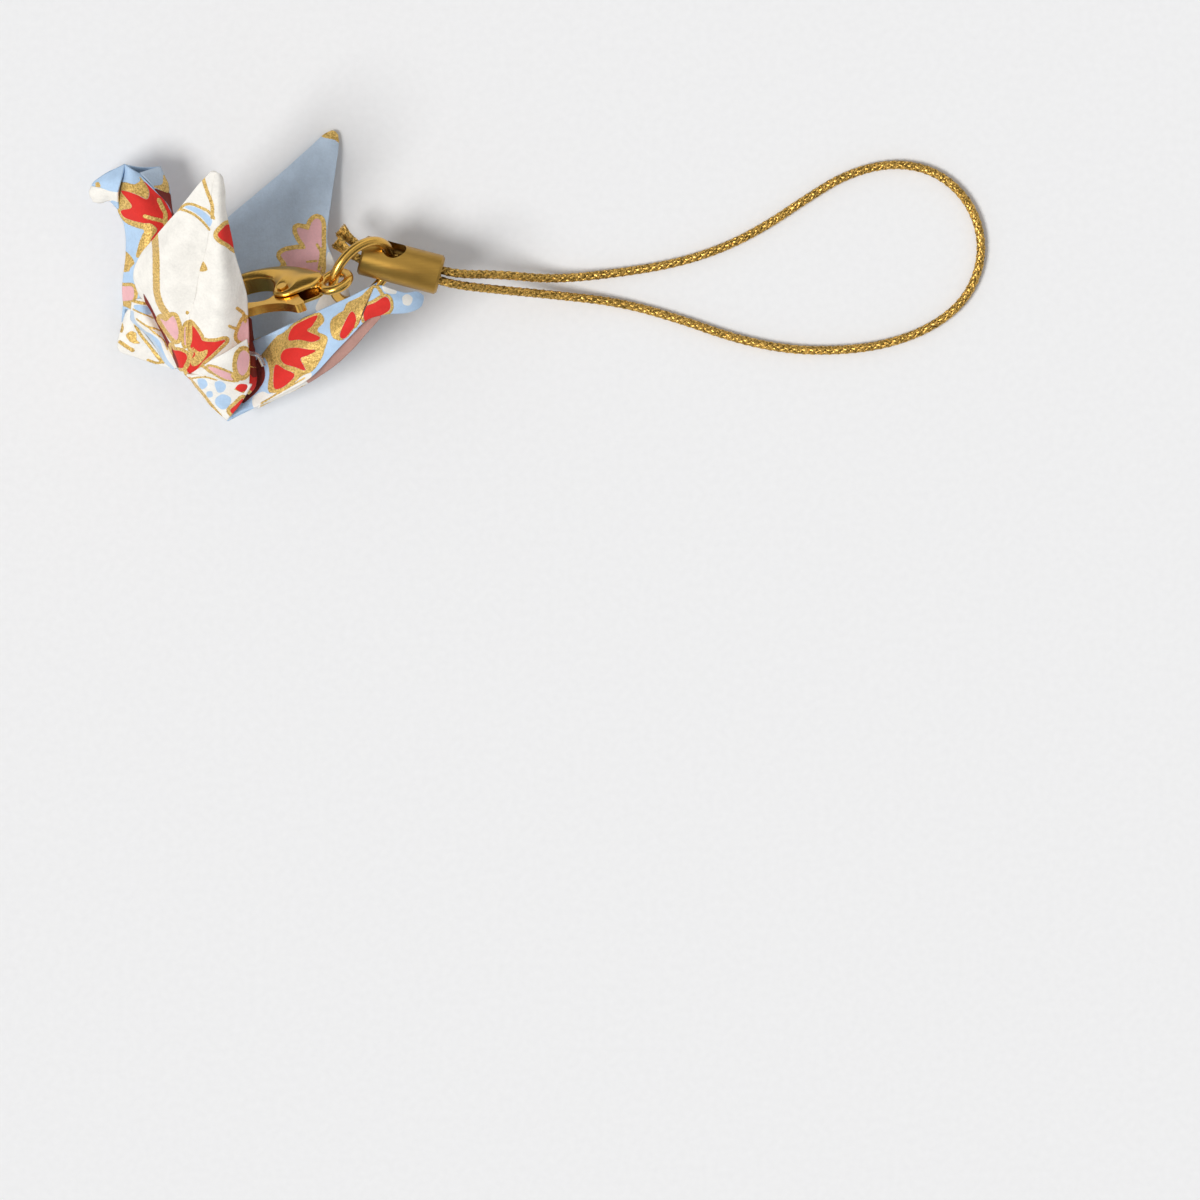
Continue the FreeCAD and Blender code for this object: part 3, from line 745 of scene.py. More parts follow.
def blossom(centre, size, turn):
    """Outline of a five-petalled blossom with notched petals."""
    shares = ((0.0, 0.42), (0.22, 0.86), (0.38, 1.0), (0.5, 0.84), (0.62, 1.0), (0.78, 0.86))
    points = []
    for petal in range(5):
        for share, reach in shares:
            angle = turn + (petal + share) * math.tau / 5
            points.append((centre[0] + math.cos(angle) * size * reach,
                           centre[1] + math.sin(angle) * size * reach))
    return points


def scattered(blossoms):
    """Print of whole blossoms, used where the sheet turns away."""
    art = [("blue", "all")]
    for ink, x, y, size, turn in blossoms:
        art.append((ink, "rim", blossom((x, y), size, turn), 3.5))
    return art


def build_near_wing(settings):
    """Wing nearest the viewer, with its seam and the small flap at its root."""
    sheet = SheetMesh(settings)
    sheet.panel([
        [(178, 367, 5.0), (184, 373, 6.6), (190, 376, 7.2)],
        [(164.5, 339, 5.2), (176, 343, 8.2), (189, 345, 9.0)],
        [(150, 311, 5.4), (170, 314, 10.2), (191, 318, 11.0)],
        [(138.5, 291, 5.8), (163, 290, 11.4), (197, 298, 12.4)],
        [(135.5, 275, 7.4), (160, 272, 12.4), (201, 277, 13.6)],
        [(142, 256, 9.6), (168, 252, 14.0), (207, 256, 15.3)],
        [(159, 236, 12.0), (182, 234, 15.6), (211, 236, 16.9)],
        [(185, 206.5, 16.6), (198, 208, 18.0), (213, 210, 18.9)],
        [(200, 188, 19.6), (207, 189, 20.1), (215, 190, 20.5)],
        [(208, 180, 20.9), (212, 179, 21.2), (217, 179, 21.4)],
        [(213, 176, 21.5), (216, 174.8, 21.6), (219, 175, 21.6)],
    ], WING_PRINT)
    sheet.panel([
        [(190, 376, 7.2), (219, 371, 9.4), (246, 372, 8.8)],
        [(189, 345, 9.0), (220, 345, 11.2), (250, 345, 10.2)],
        [(191, 318, 11.0), (221, 318, 12.9), (249, 316, 11.4)],
        [(197, 298, 12.4), (223, 298, 14.2), (247.5, 296, 12.6)],
        [(201, 277, 13.6), (223, 277, 15.2), (242.5, 277, 13.8)],
        [(207, 256, 15.3), (222, 256, 16.5), (236.5, 256, 15.2)],
        [(211, 236, 16.9), (222, 236, 17.7), (232.5, 235, 16.8)],
        [(213, 210, 18.9), (220.5, 210, 19.4), (227.5, 212, 18.6)],
        [(215, 190, 20.5), (221.5, 190, 20.7), (227, 193, 19.9)],
        [(217, 179, 21.4), (221.5, 179.5, 21.4), (225.5, 183, 20.8)],
        [(219, 175, 21.6), (221, 176, 21.5), (223, 178.5, 21.2)],
    ], WING_PRINT)
    sheet.panel([
        [(191, 375, 7.4), (192, 376, 7.6), (193, 377, 7.4)],
        [(213, 361, 10.9), (215, 370, 10.9), (218, 379, 9.6)],
        [(232, 350, 12.0), (234, 365, 11.4), (237, 383, 9.8)],
        [(248, 340, 11.6), (251, 362, 10.6), (250, 385, 9.2)],
    ], FLAP_PRINT)
    return sheet


def build_body(settings):
    """Pocket of the body, the chest and the hump between the wings."""
    sheet = SheetMesh(settings)
    sheet.panel([
        [(188, 374, 7.6), (189.5, 376, 7.2), (191, 378, 6.6)],
        [(206, 376, 9.4), (204, 385, 8.4), (200, 392, 6.4)],
        [(229, 380, 9.8), (222, 396, 8.4), (213, 407, 6.2)],
        [(253, 385, 9.2), (242, 403, 8.0), (228, 420, 5.8)],
    ], BODY_PRINT)
    sheet.panel([
        [(246, 318, 7.4), (249, 318, 7.0), (251, 320, 6.4)],
        [(245, 345, 8.4), (251, 345, 8.0), (254, 347, 7.2)],
        [(244, 366, 9.0), (252, 366, 8.8), (256, 369, 7.8)],
        [(236, 380, 9.5), (249, 382, 9.3), (256, 386, 8.2)],
        [(230, 387, 9.0), (241, 392, 9.0), (250, 395, 8.0)],
    ], STRIP_PRINT)
    sheet.panel([
        [(133, 301, 5.0), (141, 299, 5.8), (150, 301, 5.6)],
        [(131.5, 313, 4.6), (142, 313, 6.0), (153, 315, 5.8)],
        [(133, 322, 4.3), (146, 323, 6.0), (158, 325, 5.8)],
        [(149, 337, 4.1), (157, 337, 5.8), (167, 340, 5.6)],
        [(164, 360, 4.1), (169, 358, 5.2), (175, 358, 5.4)],
        [(174, 369, 4.6), (176, 368, 4.9), (178, 367.5, 5.0)],
    ], CHEST_FLAP_PRINT)
    sheet.panel([
        [(126, 314, 3.6), (130, 309, 4.2), (135, 305, 4.6)],
        [(121.5, 329, 3.2), (129, 325, 4.2), (138, 322, 4.3)],
        [(118.8, 349.5, 2.8), (134, 343, 3.8), (148, 337, 4.0)],
        [(136, 357.3, 3.1), (148, 352, 3.9), (160, 352, 4.0)],
        [(157, 364.3, 3.5), (163, 361, 3.9), (170, 362, 4.1)],
        [(171, 368, 4.0), (173, 368, 4.1), (176, 369, 4.2)],
    ], CHEST_PRINT)
    # far side of the pocket and the hump, which show from the back
    sheet.panel([
        [(124, 346, 2.6), (150, 348, 2.6), (176, 338, 3.4)],
        [(172, 364, 3.8), (190, 371, 3.6), (210, 358, 4.0)],
        [(227, 416, 5.0), (236, 402, 4.4), (251, 380, 5.0)],
    ], scattered([("red", 196, 372, 12, 0.3)]), coarse=2.0)
    sheet.panel([
        [(177, 356, 4.4), (181, 345, 6.4), (185, 338, 7.6)],
        [(200, 371, 5.6), (208, 352, 7.8), (212, 342, 8.8)],
        [(236, 380, 7.2), (243, 364, 8.4), (246, 354, 9.0)],
    ], PLAIN_BLUE, coarse=2.0)
    sheet.panel([
        [(185, 338, 7.6), (188, 342, 5.6), (186, 350, 3.0)],
        [(212, 342, 8.8), (216, 350, 6.8), (214, 362, 3.8)],
        [(246, 354, 9.0), (249, 362, 7.6), (248, 376, 5.2)],
    ], PLAIN_BLUE, coarse=2.0)
    return sheet


def build_neck(settings):
    """Neck, head and beak, each of two layers."""
    sheet = SheetMesh(settings)
    sheet.panel([
        [(124, 309, 3.5), (138, 310, 5.0), (160, 308, 4.6)],
        [(123.2, 288, 3.8), (141, 284, 5.8), (166, 280, 5.4)],
        [(127, 252, 4.4), (147, 250, 6.5), (171, 250, 6.0)],
        [(125.4, 225, 4.8), (147, 222, 7.0), (173, 222, 6.4)],
        [(119, 211, 5.2), (141, 204, 7.4), (168.5, 206, 6.6)],
        [(118.5, 189, 5.8), (132, 190, 7.1), (154.5, 190, 6.8)],
        [(126, 164.8, 6.3), (132, 169.5, 6.7), (139.3, 174.4, 6.5)],
    ], NECK_PRINT)
    sheet.panel([
        [(160, 300, 3.6), (168, 296, 3.2), (176, 292, 2.8)],
        [(172, 250, 5.8), (175, 246, 5.0), (177, 240, 4.2)],
        [(173, 222, 6.3), (174, 221, 5.4), (175, 220, 4.6)],
        [(168, 206, 6.5), (170, 208, 5.6), (172, 210, 4.8)],
        [(155, 190, 6.7), (162, 189, 5.8), (169, 187, 4.9)],
        [(147, 180.5, 6.6), (155, 179, 5.8), (165.5, 179, 4.9)],
        [(139.3, 174.4, 6.4), (148, 171, 5.8), (160.5, 167, 5.0)],
    ], PEAK_PRINT)
    sheet.panel([
        [(126, 164.8, 6.3), (122.5, 179, 6.8), (118.5, 193, 6.7)],
        [(112, 172, 5.9), (111, 181.5, 6.4), (110.5, 191.5, 6.2)],
        [(98, 180, 5.0), (99.5, 183.5, 5.3), (101, 188, 5.3)],
        [(93, 184.5, 4.4), (93, 185.5, 4.6), (93, 186.5, 4.5)],
    ], HEAD_PRINT)
    sheet.panel([
        [(118.5, 193, 6.7), (118.5, 202, 6.0), (120, 211, 5.2)],
        [(110.5, 191.5, 6.2), (110.5, 196, 5.6), (111, 200.8, 4.7)],
        [(101, 188, 5.3), (101.5, 195, 5.0), (101, 202.6, 4.0)],
        [(93, 186.5, 4.5), (90.5, 193, 4.4), (94, 201, 3.9)],
    ], BEAK_PRINT)
    # far layers, which show from the back
    sheet.panel([
        [(122, 322, 3.2), (142, 314, 2.6), (176, 292, 2.7)],
        [(127, 252, 4.2), (148, 248, 3.6), (177, 240, 4.0)],
        [(125.4, 225, 4.6), (148, 220, 4.2), (175, 220, 4.5)],
        [(119, 211, 5.0), (142, 202, 4.4), (172, 210, 4.7)],
        [(118, 189, 5.0), (136, 186, 4.6), (169, 187, 4.8)],
        [(126, 165.5, 6.1), (142, 168, 5.0), (160.5, 167, 4.9)],
    ], scattered([("red", 146, 205, 17, 0.6), ("pink", 142, 270, 13, 0.2)]), coarse=2.0)
    sheet.panel([
        [(126, 165.5, 6.1), (122, 186, 4.4), (119, 211, 5.0)],
        [(110, 173, 5.7), (109, 188, 4.0), (109, 201, 4.4)],
        [(96, 182, 4.7), (97, 192, 3.6), (99, 202.5, 3.8)],
        [(92, 188.5, 4.2), (91.5, 195, 3.6), (94, 200.5, 3.8)],
    ], PLAIN_BLUE, coarse=2.0)
    return sheet


def build_far_wing(settings):
    """Wing that the crane lies on."""
    sheet = SheetMesh(settings)
    sheet.panel([
        [(160, 352, 2.4), (205, 375, 3.4), (252, 392, 5.0)],
        [(178, 290, 2.0), (240, 318, 3.4), (345, 312, 6.4)],
        [(200, 245, 1.8), (262, 262, 3.2), (336, 266, 5.2)],
        [(229, 217, 1.9), (277, 230, 3.0), (327.5, 240, 3.9)],
        [(270, 183, 1.8), (300, 190, 2.7), (331.5, 200, 2.9)],
        [(310, 148, 1.7), (323, 155, 2.2), (337, 160, 2.2)],
        [(323, 136, 1.6), (330, 138, 1.9), (338.5, 143, 1.8)],
        [(331, 131.5, 1.6), (334.5, 131.5, 1.7), (338, 135, 1.7)],
    ], FAR_WING_PRINT)
    return sheet


def build_tail(settings):
    """Tail of two layers, with its point bent over."""
    sheet = SheetMesh(settings)
    sheet.panel([
        [(227, 421, 4.8), (240, 385, 4.9), (250, 343, 5.0)],
        [(259, 406, 7.0), (262, 372, 7.2), (266, 336, 7.4)],
        [(288, 392, 9.2), (291, 358, 10.4), (295, 324, 9.8)],
        [(313, 377, 10.6), (317, 343, 11.9), (325, 309.5, 11.2)],
        [(338, 351, 12.3), (345, 325, 13.4), (352, 298, 12.8)],
        [(358.5, 330, 13.6), (366, 308, 14.5), (376, 286.5, 14.4)],
    ], TAIL_PRINT)
    sheet.panel([
        [(358, 329, 13.7), (369, 305, 14.9), (376, 287.5, 14.6)],
        [(370, 319.5, 14.2), (380, 303, 15.4), (384, 287.5, 15.0)],
        [(388, 315, 14.6), (393, 303, 15.5), (393, 291, 15.0)],
        [(405, 314, 14.2), (406, 304, 15.1), (405, 294.5, 14.8)],
        [(416, 311, 13.9), (417.5, 302, 14.5), (417, 293, 14.3)],
        [(422, 307, 13.7), (424, 301, 13.9), (424, 297, 13.8)],
    ], TAIL_TIP_PRINT)
    sheet.panel([
        [(258, 408, 6.4), (261, 405, 7.0), (262, 402, 7.2)],
        [(300, 388, 8.4), (302, 380, 9.0), (304, 374, 9.6)],
        [(324.5, 374, 9.8), (326, 364, 10.8), (328, 356, 11.4)],
        [(350, 353.5, 11.6), (348, 342, 12.4), (346, 334, 12.9)],
        [(368, 333.5, 12.8), (366, 326, 13.2), (363, 318, 13.6)],
        [(382, 318, 13.6), (379, 314, 13.9), (376, 310, 14.2)],
    ], TAIL_UNDER_PRINT)
    # far layer, which shows from the back
    sheet.panel([
        [(226, 420, 5.4), (240, 388, 4.6), (250, 343, 7.2)],
        [(262, 404, 7.0), (266, 372, 6.4), (267, 336, 8.4)],
        [(305, 381, 9.0), (304, 352, 8.4), (310, 316, 10.4)],
        [(346, 356, 10.8), (344, 330, 11.0), (352, 298, 12.6)],
        [(369, 332, 12.4), (368, 310, 12.8), (378, 284, 14.2)],
    ], scattered([("red", 300, 350, 17, 0.9)]), coarse=2.0)
    return sheet


# cord

CORD_ROUTE = [
    (6.237, 3.158, 4.090), (7.273, 2.220, 4.174), (9.787, 1.559, 4.226), (13.574, 0.483, 4.973),
    (15.228, 0.090, 5.007),
    (18.5, 0.10, 2.9), (22.6, -0.30, 1.2), (27.4, 0.15, 0.39), (32.4, 0.95, 0.39), (36.3, 2.20, 0.39),
    (39.7, 3.95, 0.39), (42.8, 6.05, 0.39), (46.0, 8.05, 0.39), (49.6, 9.05, 0.39), (53.0, 8.55, 0.39),
    (55.6, 6.55, 0.39), (56.95, 3.75, 0.39), (56.95, 0.75, 0.39), (55.6, -2.10, 0.39), (52.9, -4.20, 0.39),
    (49.4, -5.50, 0.39), (45.5, -6.00, 0.39), (41.4, -5.90, 0.39), (37.2, -5.00, 0.39), (32.7, -3.40, 0.39),
    (28.0, -2.10, 0.39), (23.0, -1.55, 1.2), (18.6, -1.15, 2.9), (15.001, -0.772, 5.007),
    (13.368, -0.301, 4.973),
    (9.515, 0.630, 5.562), (7.001, 1.290, 5.510), (5.965, 2.228, 5.426),
]


def route_points():
    """Points along the cord's smooth middle line."""
    curve = bpy.data.curves.new("cord route", "CURVE")
    curve.dimensions = "3D"
    curve.resolution_u = 24
    spline = curve.splines.new("NURBS")
    spline.points.add(len(CORD_ROUTE) - 1)
    for point, spot in zip(spline.points, CORD_ROUTE):
        point.co = (spot[0] * MM, spot[1] * MM, spot[2] * MM, 1.0)
    spline.order_u = 3
    spline.use_endpoint_u = True
    carrier = bpy.data.objects.new("cord route", curve)
    line = bpy.data.meshes.new_from_object(carrier)
    points = np.array([vertex.co[:] for vertex in line.vertices])
    bpy.data.objects.remove(carrier)
    bpy.data.curves.remove(curve)
    bpy.data.meshes.remove(line)
    return points


def even_points(points, step):
    """Points at even distances along a line."""
    runs = np.linalg.norm(np.diff(points, axis=0), axis=1)
    reached = np.concatenate([[0], np.cumsum(runs)])
    at = np.linspace(0, reached[-1], int(reached[-1] / step))
    return np.stack([np.interp(at, reached, points[:, k]) for k in range(3)], -1), at


def carried_frames(points):
    """Two directions across a line at each point, carried along it without twist."""
    runs = np.gradient(points, axis=0)
    runs /= np.linalg.norm(runs, axis=1, keepdims=True)
    side = np.cross(runs[0], (0, 0, 1))
    sides = []
    for run in runs:
        side = side - run * (side @ run)
        side /= np.linalg.norm(side)
        sides.append(side)
    sides = np.array(sides)
    return sides, np.cross(runs, sides)


def thread_tree():
    """Geometry nodes that give lines of edges a flat oval section, thin along their radial direction."""
    tree = bpy.data.node_groups.new("flat threads", "GeometryNodeTree")
    tree.interface.new_socket("Geometry", in_out="INPUT", socket_type="NodeSocketGeometry")
    sockets = {}
    for label, kind in (("Thickness", "Float"), ("Width", "Float"), ("Sides", "Int"),
                        ("Material", "Material")):
        socket = tree.interface.new_socket(label, in_out="INPUT", socket_type="NodeSocket" + kind)
        sockets[label] = socket.identifier
    tree.interface.new_socket("Geometry", in_out="OUTPUT", socket_type="NodeSocketGeometry")
    start = tree.nodes.new("NodeGroupInput")
    end = tree.nodes.new("NodeGroupOutput")
    to_curve = tree.nodes.new("GeometryNodeMeshToCurve")
    radial = tree.nodes.new("GeometryNodeInputNamedAttribute")
    radial.data_type = "FLOAT_VECTOR"
    radial.inputs["Name"].default_value = "radial"
    turn = tree.nodes.new("GeometryNodeSetCurveNormal")
    turn.mode = "FREE"
    circle = tree.nodes.new("GeometryNodeCurvePrimitiveCircle")
    circle.inputs["Radius"].default_value = 0.5
    size = tree.nodes.new("ShaderNodeCombineXYZ")
    size.inputs["Z"].default_value = 1.0
    flatten = tree.nodes.new("GeometryNodeTransform")
    to_mesh = tree.nodes.new("GeometryNodeCurveToMesh")
    to_mesh.inputs["Fill Caps"].default_value = True
    realize = tree.nodes.new("GeometryNodeRealizeInstances")
    finish = tree.nodes.new("GeometryNodeSetMaterial")
    link = tree.links.new
    link(start.outputs["Geometry"], to_curve.inputs["Mesh"])
    link(to_curve.outputs["Curve"], turn.inputs["Curve"])
    link(radial.outputs["Attribute"], turn.inputs["Normal"])
    link(start.outputs["Sides"], circle.inputs["Resolution"])
    link(start.outputs["Thickness"], size.inputs["X"])
    link(start.outputs["Width"], size.inputs["Y"])
    link(circle.outputs["Curve"], flatten.inputs["Geometry"])
    link(size.outputs["Vector"], flatten.inputs["Scale"])
    link(turn.outputs["Curve"], to_mesh.inputs["Curve"])
    link(flatten.outputs["Geometry"], to_mesh.inputs["Profile Curve"])
    link(to_mesh.outputs["Mesh"], realize.inputs["Geometry"])
    link(realize.outputs["Geometry"], finish.inputs["Geometry"])
    link(start.outputs["Material"], finish.inputs["Material"])
    link(finish.outputs["Geometry"], end.inputs["Geometry"])
    return tree, sockets


def threads(name, lines, radials, thickness, width, sides, material):
    """One mesh of flat threads along the given lines."""
    points = np.concatenate(lines)
    edges = []
    start = 0
    for line in lines:
        edges += [(start + i, start + i + 1) for i in range(len(line) - 1)]
        start += len(line)
    mesh = bpy.data.meshes.new(name)
    mesh.from_pydata(points.tolist(), edges, [])
    layer = mesh.attributes.new("radial", "FLOAT_VECTOR", "POINT")
    layer.data.foreach_set("vector", np.concatenate(radials).astype(np.float32).ravel())
    piece = bpy.data.objects.new(name, mesh)
    bpy.context.collection.objects.link(piece)
    tree, sockets = thread_tree()
    modifier = piece.modifiers.new("threads", "NODES")
    modifier.node_group = tree
    modifier[sockets["Thickness"]] = thickness
    modifier[sockets["Width"]] = width
    modifier[sockets["Sides"]] = sides
    modifier[sockets["Material"]] = material
    evaluated = piece.evaluated_get(bpy.context.evaluated_depsgraph_get())
    made = bpy.data.meshes.new_from_object(evaluated)
    piece.modifiers.remove(modifier)
    piece.data = made
    bpy.data.meshes.remove(mesh)
    made.polygons.foreach_set("use_smooth", [True] * len(made.polygons))
    return piece


def braid_lines(points, at, settings):
    """Lines of the strands of a round braid along the cord, with their radial directions."""
    sides, ups = carried_frames(points)
    thickness = settings.diameter * 0.24
    wave = settings.diameter * 0.055
    middle = settings.diameter / 2 - thickness / 2 - wave
    turn = at / settings.pitch * math.tau
    lines = []
    radials = []
    for way in (1, -1):
        reach = middle + way * wave * np.cos(settings.strands * turn)
        for k in range(settings.strands):
            angle = way * turn + math.tau * k / settings.strands
            across = sides * np.cos(angle)[:, None] + ups * np.sin(angle)[:, None]
            lines.append(points + across * reach[:, None])
            radials.append(across)
    return lines, radials, thickness


def frayed_lines(end, run, settings, generator):
    """Lines of the loose threads that spread from a cut end, with directions across them."""
    run = run / np.linalg.norm(run)
    side = np.cross(run, (0, 0, 1))
    side /= np.linalg.norm(side)
    up = np.cross(run, side)
    lines = []
    radials = []
    for _ in range(settings.loose_threads):
        angle = generator.uniform(0, math.tau)
        start = settings.diameter * generator.uniform(0.30, 0.47)
        spread = start + generator.uniform(0.05, 0.30) * MM
        twist = generator.uniform(0.3, 0.9)
        length = generator.uniform(0.45, 0.85) * MM
        back = generator.uniform(0.3, 0.8) * MM
        line = []
        across = []
        for t in np.linspace(0, 1, 8):
            reach = start + (spread - start) * t**1.3
            turned = angle + twist * t
            out = side * math.cos(turned) + up * math.sin(turned)
            line.append(end + run * ((length + back) * t - back) + out * reach)
            across.append(out)
        lines.append(np.array(line))
        radials.append(np.array(across))
    return lines, radials


# operators

class PieceOperator:
    """What every operator of the charm shares."""
    bl_options = {"REGISTER", "UNDO"}


class CRANE_OT_near_wing(PieceOperator, bpy.types.Operator):
    """Make the near wing of folded paper"""
    bl_idname = "crane.near_wing"
    bl_label = "Near wing"

    def execute(self, context):
        build_near_wing(context.scene.crane_paper).finish("crane_near_wing", make_materials()["paper"])
        return {"FINISHED"}


class CRANE_OT_far_wing(PieceOperator, bpy.types.Operator):
    """Make the far wing of folded paper"""
    bl_idname = "crane.far_wing"
    bl_label = "Far wing"

    def execute(self, context):
        build_far_wing(context.scene.crane_paper).finish("crane_far_wing", make_materials()["paper"])
        return {"FINISHED"}


class CRANE_OT_body(PieceOperator, bpy.types.Operator):
    """Make the pocket of the body, the chest and the hump"""
    bl_idname = "crane.body"
    bl_label = "Body"

    def execute(self, context):
        build_body(context.scene.crane_paper).finish("crane_body", make_materials()["paper"])
        return {"FINISHED"}


class CRANE_OT_neck(PieceOperator, bpy.types.Operator):
    """Make the neck and the head"""
    bl_idname = "crane.neck"
    bl_label = "Neck and head"

    def execute(self, context):
        build_neck(context.scene.crane_paper).finish("crane_neck", make_materials()["paper"])
        return {"FINISHED"}


class CRANE_OT_tail(PieceOperator, bpy.types.Operator):
    """Make the tail"""
    bl_idname = "crane.tail"
    bl_label = "Tail"

    def execute(self, context):
        build_tail(context.scene.crane_paper).finish("crane_tail", make_materials()["paper"])
        return {"FINISHED"}


class CRANE_OT_metal(PieceOperator, bpy.types.Operator):
    """Finish the clasp, the ring, the sleeve and the clear thread"""
    bl_idname = "crane.metal"
    bl_label = "Metal pieces"

    def execute(self, context):
        made = make_materials()
        for name, body, slot, key, angle in (
                ("clasp_rivet", "crane", "gold_metal", "metal", 38),
                ("clasp_lever", "lever", "gold_metal", "metal", 38),
                ("jump_ring", "ring", "gold_metal", "metal", 60),
                ("cord_end_sleeve", "strap_end", "gold_metal", "sleeve", 38),
                ("clasp_spring", "crane", "spring_wire", "wire", 60),
                ("nylon_thread", "crane", "clear_thread", "nylon", 60)):
            smooth_copy(name, made[key], body, angle)
        cast_clasp(made["metal"])
        return {"FINISHED"}


# Frame of the clasp: its eye's centre, along it to the eye, towards its mouth, and across its cheeks.
CLASP_CENTRE = (0.00534, -0.00052, 0.00802)
CLASP_AXES = ((0.933, 0.161, 0.322), (-0.170, -0.591, 0.788), (0.317, -0.790, -0.524))


def cast_clasp(material):
    """Cast body of the clasp with crowned cheeks and softened edges."""
    carrier = smooth_copy("clasp_body", material, "crane", 38)
    remesh = carrier.modifiers.new("fine skin", "REMESH")
    remesh.mode = "VOXEL"
    remesh.voxel_size = 0.00006
    fine = bpy.data.meshes.new_from_object(carrier.evaluated_get(bpy.context.evaluated_depsgraph_get()))
    carrier.modifiers.remove(remesh)
    points = np.empty(len(fine.vertices) * 3)
    fine.vertices.foreach_get("co", points)
    normals = np.empty(len(fine.vertices) * 3)
    fine.vertices.foreach_get("normal", normals)
    axes = np.array(CLASP_AXES)
    axes /= np.linalg.norm(axes, axis=1, keepdims=True)
    local = (points.reshape(-1, 3) - CLASP_CENTRE) @ axes.T / MM
    facing = normals.reshape(-1, 3) @ axes.T
    cheek = 1.0
    wall = (np.abs(facing[:, 2]) < 0.35) & (np.abs(local[:, 2]) > 0.62) & (np.abs(local[:, 2]) < 0.9)
    tree = kdtree.KDTree(int(wall.sum()))
    for index, (along, across) in enumerate(local[wall][:, :2]):
        tree.insert((along, across, 0.0), index)
    tree.balance()
    to_rim = np.array([tree.find((along, across, 0.0))[2] for along, across in local[:, :2]])
    crown = np.clip(to_rim / 1.15, 0, 1)
    share = np.clip((np.abs(local[:, 2]) - 0.55) / (cheek - 0.55), 0, 1)
    local[:, 2] -= np.sign(local[:, 2]) * share * 0.26 * (1 - crown) ** 2
    front = (local[:, 2] < 0) * share
    belly = np.exp(-((local[:, 0] + 2.9) / 1.7) ** 2 - ((local[:, 1] - 0.1) / 0.8) ** 2)
    local[:, 2] -= front * 0.09 * belly
    fine.vertices.foreach_set("co", ((local @ axes) * MM + CLASP_CENTRE).ravel())
    fine.polygons.foreach_set("use_smooth", [True] * len(fine.polygons))
    fine.materials.clear()
    fine.materials.append(material)
    fine.update()
    carrier.data = fine


def smooth_copy(name, material, body, angle):
    """Copy of a solid with its seams closed and its round faces shaded smooth."""
    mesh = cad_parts[name].data.copy()
    mesh.name = name + "_finish"
    shape = bmesh.new()
    shape.from_mesh(mesh)
    bmesh.ops.remove_doubles(shape, verts=shape.verts, dist=1e-6)
    bmesh.ops.recalc_face_normals(shape, faces=shape.faces)
    for face in shape.faces:
        face.smooth = True
    for edge in shape.edges:
        edge.smooth = edge.calc_face_angle(0.0) < math.radians(angle)
    shape.to_mesh(mesh)
    shape.free()
    mesh.materials.clear()
    mesh.materials.append(material)
    piece = bpy.data.objects.new(name + "_finish", mesh)
    bpy.context.collection.objects.link(piece)
    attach(piece, body)
    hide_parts(name)
    return piece


class CRANE_OT_cord(PieceOperator, bpy.types.Operator):
    """Braid the metallic cord and spread its cut ends"""
    bl_idname = "crane.cord"
    bl_label = "Cord"

    def execute(self, context):
        settings = context.scene.crane_cord
        made = make_materials()
        smooth = route_points()
        points, at = even_points(smooth, 0.00013)
        lines, radials, thickness = braid_lines(points, at, settings)
        braid = threads("braid", lines, radials, thickness, settings.diameter * 0.46, 8, made["thread"])
        core, _ = even_points(smooth, 0.0005)
        sides, _ = carried_frames(core)
        filling = threads("core", [core], [sides], settings.diameter * 0.62, settings.diameter * 0.62, 10,
                          made["thread"])
        merged = join_meshes("braided_cord", [braid, filling])
        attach(merged, "strap_end")
        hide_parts("gold_cord")
        generator = np.random.default_rng(11)
        loose = []
        across = []
        for end, before in ((smooth[0], smooth[4]), (smooth[-1], smooth[-5])):
            lines, radials = frayed_lines(end, end - before, settings, generator)
            loose += lines
            across += radials
        frayed = threads("frayed_ends", loose, across, 0.00005, 0.00009, 5, made["thread"])
        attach(frayed, "strap_end")
        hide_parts("cord_frayed_ends")
        return {"FINISHED"}


def join_meshes(name, pieces):
    """One object from several meshes with the same material."""
    points = []
    faces = []
    for piece in pieces:
        start = len(points)
        points += [vertex.co[:] for vertex in piece.data.vertices]
        faces += [[start + i for i in polygon.vertices] for polygon in piece.data.polygons]
    mesh = bpy.data.meshes.new(name)
    mesh.from_pydata(points, [], faces)
    mesh.polygons.foreach_set("use_smooth", [True] * len(mesh.polygons))
    mesh.materials.append(pieces[0].data.materials[0])
    for piece in pieces:
        bpy.data.objects.remove(piece)
    joined = bpy.data.objects.new(name, mesh)
    bpy.context.collection.objects.link(joined)
    return joined


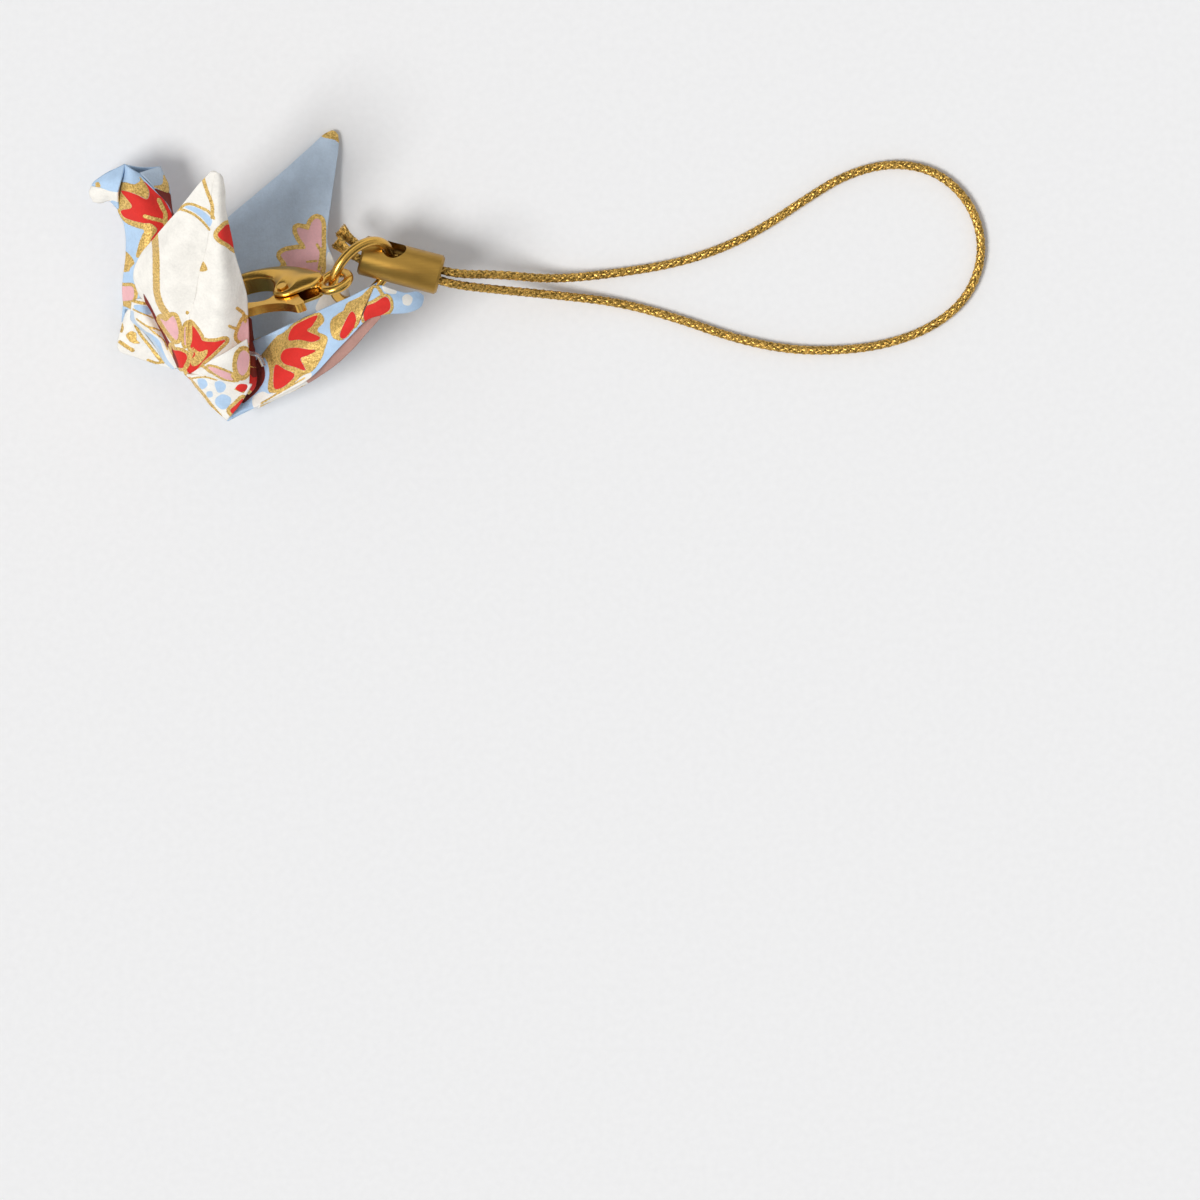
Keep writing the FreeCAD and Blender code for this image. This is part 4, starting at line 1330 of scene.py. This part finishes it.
class CRANE_OT_stage(PieceOperator, bpy.types.Operator):
    """Make the floor, the lights and the camera"""
    bl_idname = "crane.stage"
    bl_label = "Stage"

    def execute(self, context):
        settings = context.scene.crane_stage
        mesh = bpy.data.meshes.new("floor")
        reach = settings.floor_reach
        mesh.from_pydata([(-reach, -reach, 0), (reach, -reach, 0), (reach, reach, 0), (-reach, reach, 0)], [],
                         [(0, 1, 2, 3)])
        material, tree, shader = new_material("pale floor")
        spot = node(tree, "ShaderNodeTexCoord").outputs["Object"]
        grain = node(tree, "ShaderNodeTexNoise", {"Vector": spot, "Scale": 1800.0, "Detail": 2.0})
        tree.links.new(mixed(tree, grain.outputs[0], four(settings.floor),
                             four([c * 0.94 for c in settings.floor])),
                       shader.inputs["Base Color"])
        shader.inputs["Roughness"].default_value = 0.9
        mesh.materials.append(material)
        floor = bpy.data.objects.new("floor", mesh)
        context.collection.objects.link(floor)
        lamp = bpy.data.lights.new("key", "SUN")
        lamp.energy = settings.sun
        lamp.angle = settings.sun_size
        light = bpy.data.objects.new("key", lamp)
        light.rotation_euler = (math.radians(14), math.radians(-31), 0)
        context.collection.objects.link(light)
        world = bpy.data.worlds.new("studio")
        world.use_nodes = True
        build_world(world.node_tree)
        context.scene.world = world
        camera = bpy.data.cameras.new("camera")
        camera.lens = camera.sensor_width * settings.camera_height / settings.view_width
        camera.clip_end = 40.0
        holder = bpy.data.objects.new("camera", camera)
        holder.location = (0.02648, -0.02592, settings.camera_height)
        context.collection.objects.link(holder)
        context.scene.camera = holder
        context.scene.view_settings.view_transform = "Standard"
        return {"FINISHED"}


def build_world(tree):
    """Even light, with darker and brighter bands for the metal to reflect."""
    background = tree.nodes["Background"]
    background.inputs["Color"].default_value = (0.82, 0.82, 0.84, 1.0)
    background.inputs["Strength"].default_value = 0.52
    direction = node(tree, "ShaderNodeTexCoord").outputs["Generated"]
    bands = node(tree, "ShaderNodeMapping", {"Vector": direction, "Rotation": (0.0, 0.5, 0.6)}).outputs[0]
    split = node(tree, "ShaderNodeSeparateXYZ", {0: bands})
    ramp = node(tree, "ShaderNodeValToRGB", {"Fac": math_node(tree, "ADD", math_node(
        tree, "MULTIPLY", split.outputs[0], 0.5), 0.5)})
    stops = ((0.0, 0.05), (0.30, 0.12), (0.42, 1.0), (0.60, 0.95), (0.70, 0.16), (0.86, 0.7), (1.0, 0.05))
    elements = ramp.color_ramp.elements
    while len(elements) < len(stops):
        elements.new(0.5)
    for element, (at, level) in zip(elements, stops):
        element.position = at
        element.color = (level, level, level, 1.0)
    mirror = node(tree, "ShaderNodeBackground", {"Color": ramp.outputs["Color"], "Strength": 1.1})
    path = node(tree, "ShaderNodeLightPath")
    blend = node(tree, "ShaderNodeMixShader", {0: path.outputs["Is Glossy Ray"]})
    tree.links.new(background.outputs[0], blend.inputs[1])
    tree.links.new(mirror.outputs[0], blend.inputs[2])
    tree.links.new(blend.outputs[0], tree.nodes["World Output"].inputs["Surface"])


class CRANE_PT_panel(bpy.types.Panel):
    """Buttons for each piece of the charm"""
    bl_label = "Origami crane charm"
    bl_idname = "CRANE_PT_panel"
    bl_space_type = "VIEW_3D"
    bl_region_type = "UI"
    bl_category = "Crane"

    def draw(self, context):
        for piece in OPERATORS:
            self.layout.operator(piece.bl_idname)


OPERATORS = (CRANE_OT_stage, CRANE_OT_cord, CRANE_OT_near_wing, CRANE_OT_far_wing, CRANE_OT_body,
             CRANE_OT_neck,
             CRANE_OT_tail, CRANE_OT_metal)
SETTINGS = {"crane_paper": PaperSettings, "crane_cord": CordSettings, "crane_metal": MetalSettings,
            "crane_stage": StageSettings}


def register():
    """Register the settings, the operators and the panel."""
    for name, group in SETTINGS.items():
        bpy.utils.register_class(group)
        setattr(bpy.types.Scene, name, bpy.props.PointerProperty(type=group))
    for piece in OPERATORS + (CRANE_PT_panel,):
        bpy.utils.register_class(piece)


def unregister():
    """Remove what register added."""
    for piece in reversed(OPERATORS + (CRANE_PT_panel,)):
        bpy.utils.unregister_class(piece)
    for name, group in SETTINGS.items():
        delattr(bpy.types.Scene, name)
        bpy.utils.unregister_class(group)


def main():
    """Build everything in order."""
    register()
    for piece in OPERATORS:
        group, name = piece.bl_idname.split(".")
        getattr(getattr(bpy.ops, group), name)()


if __name__ == "__main__":
    main()
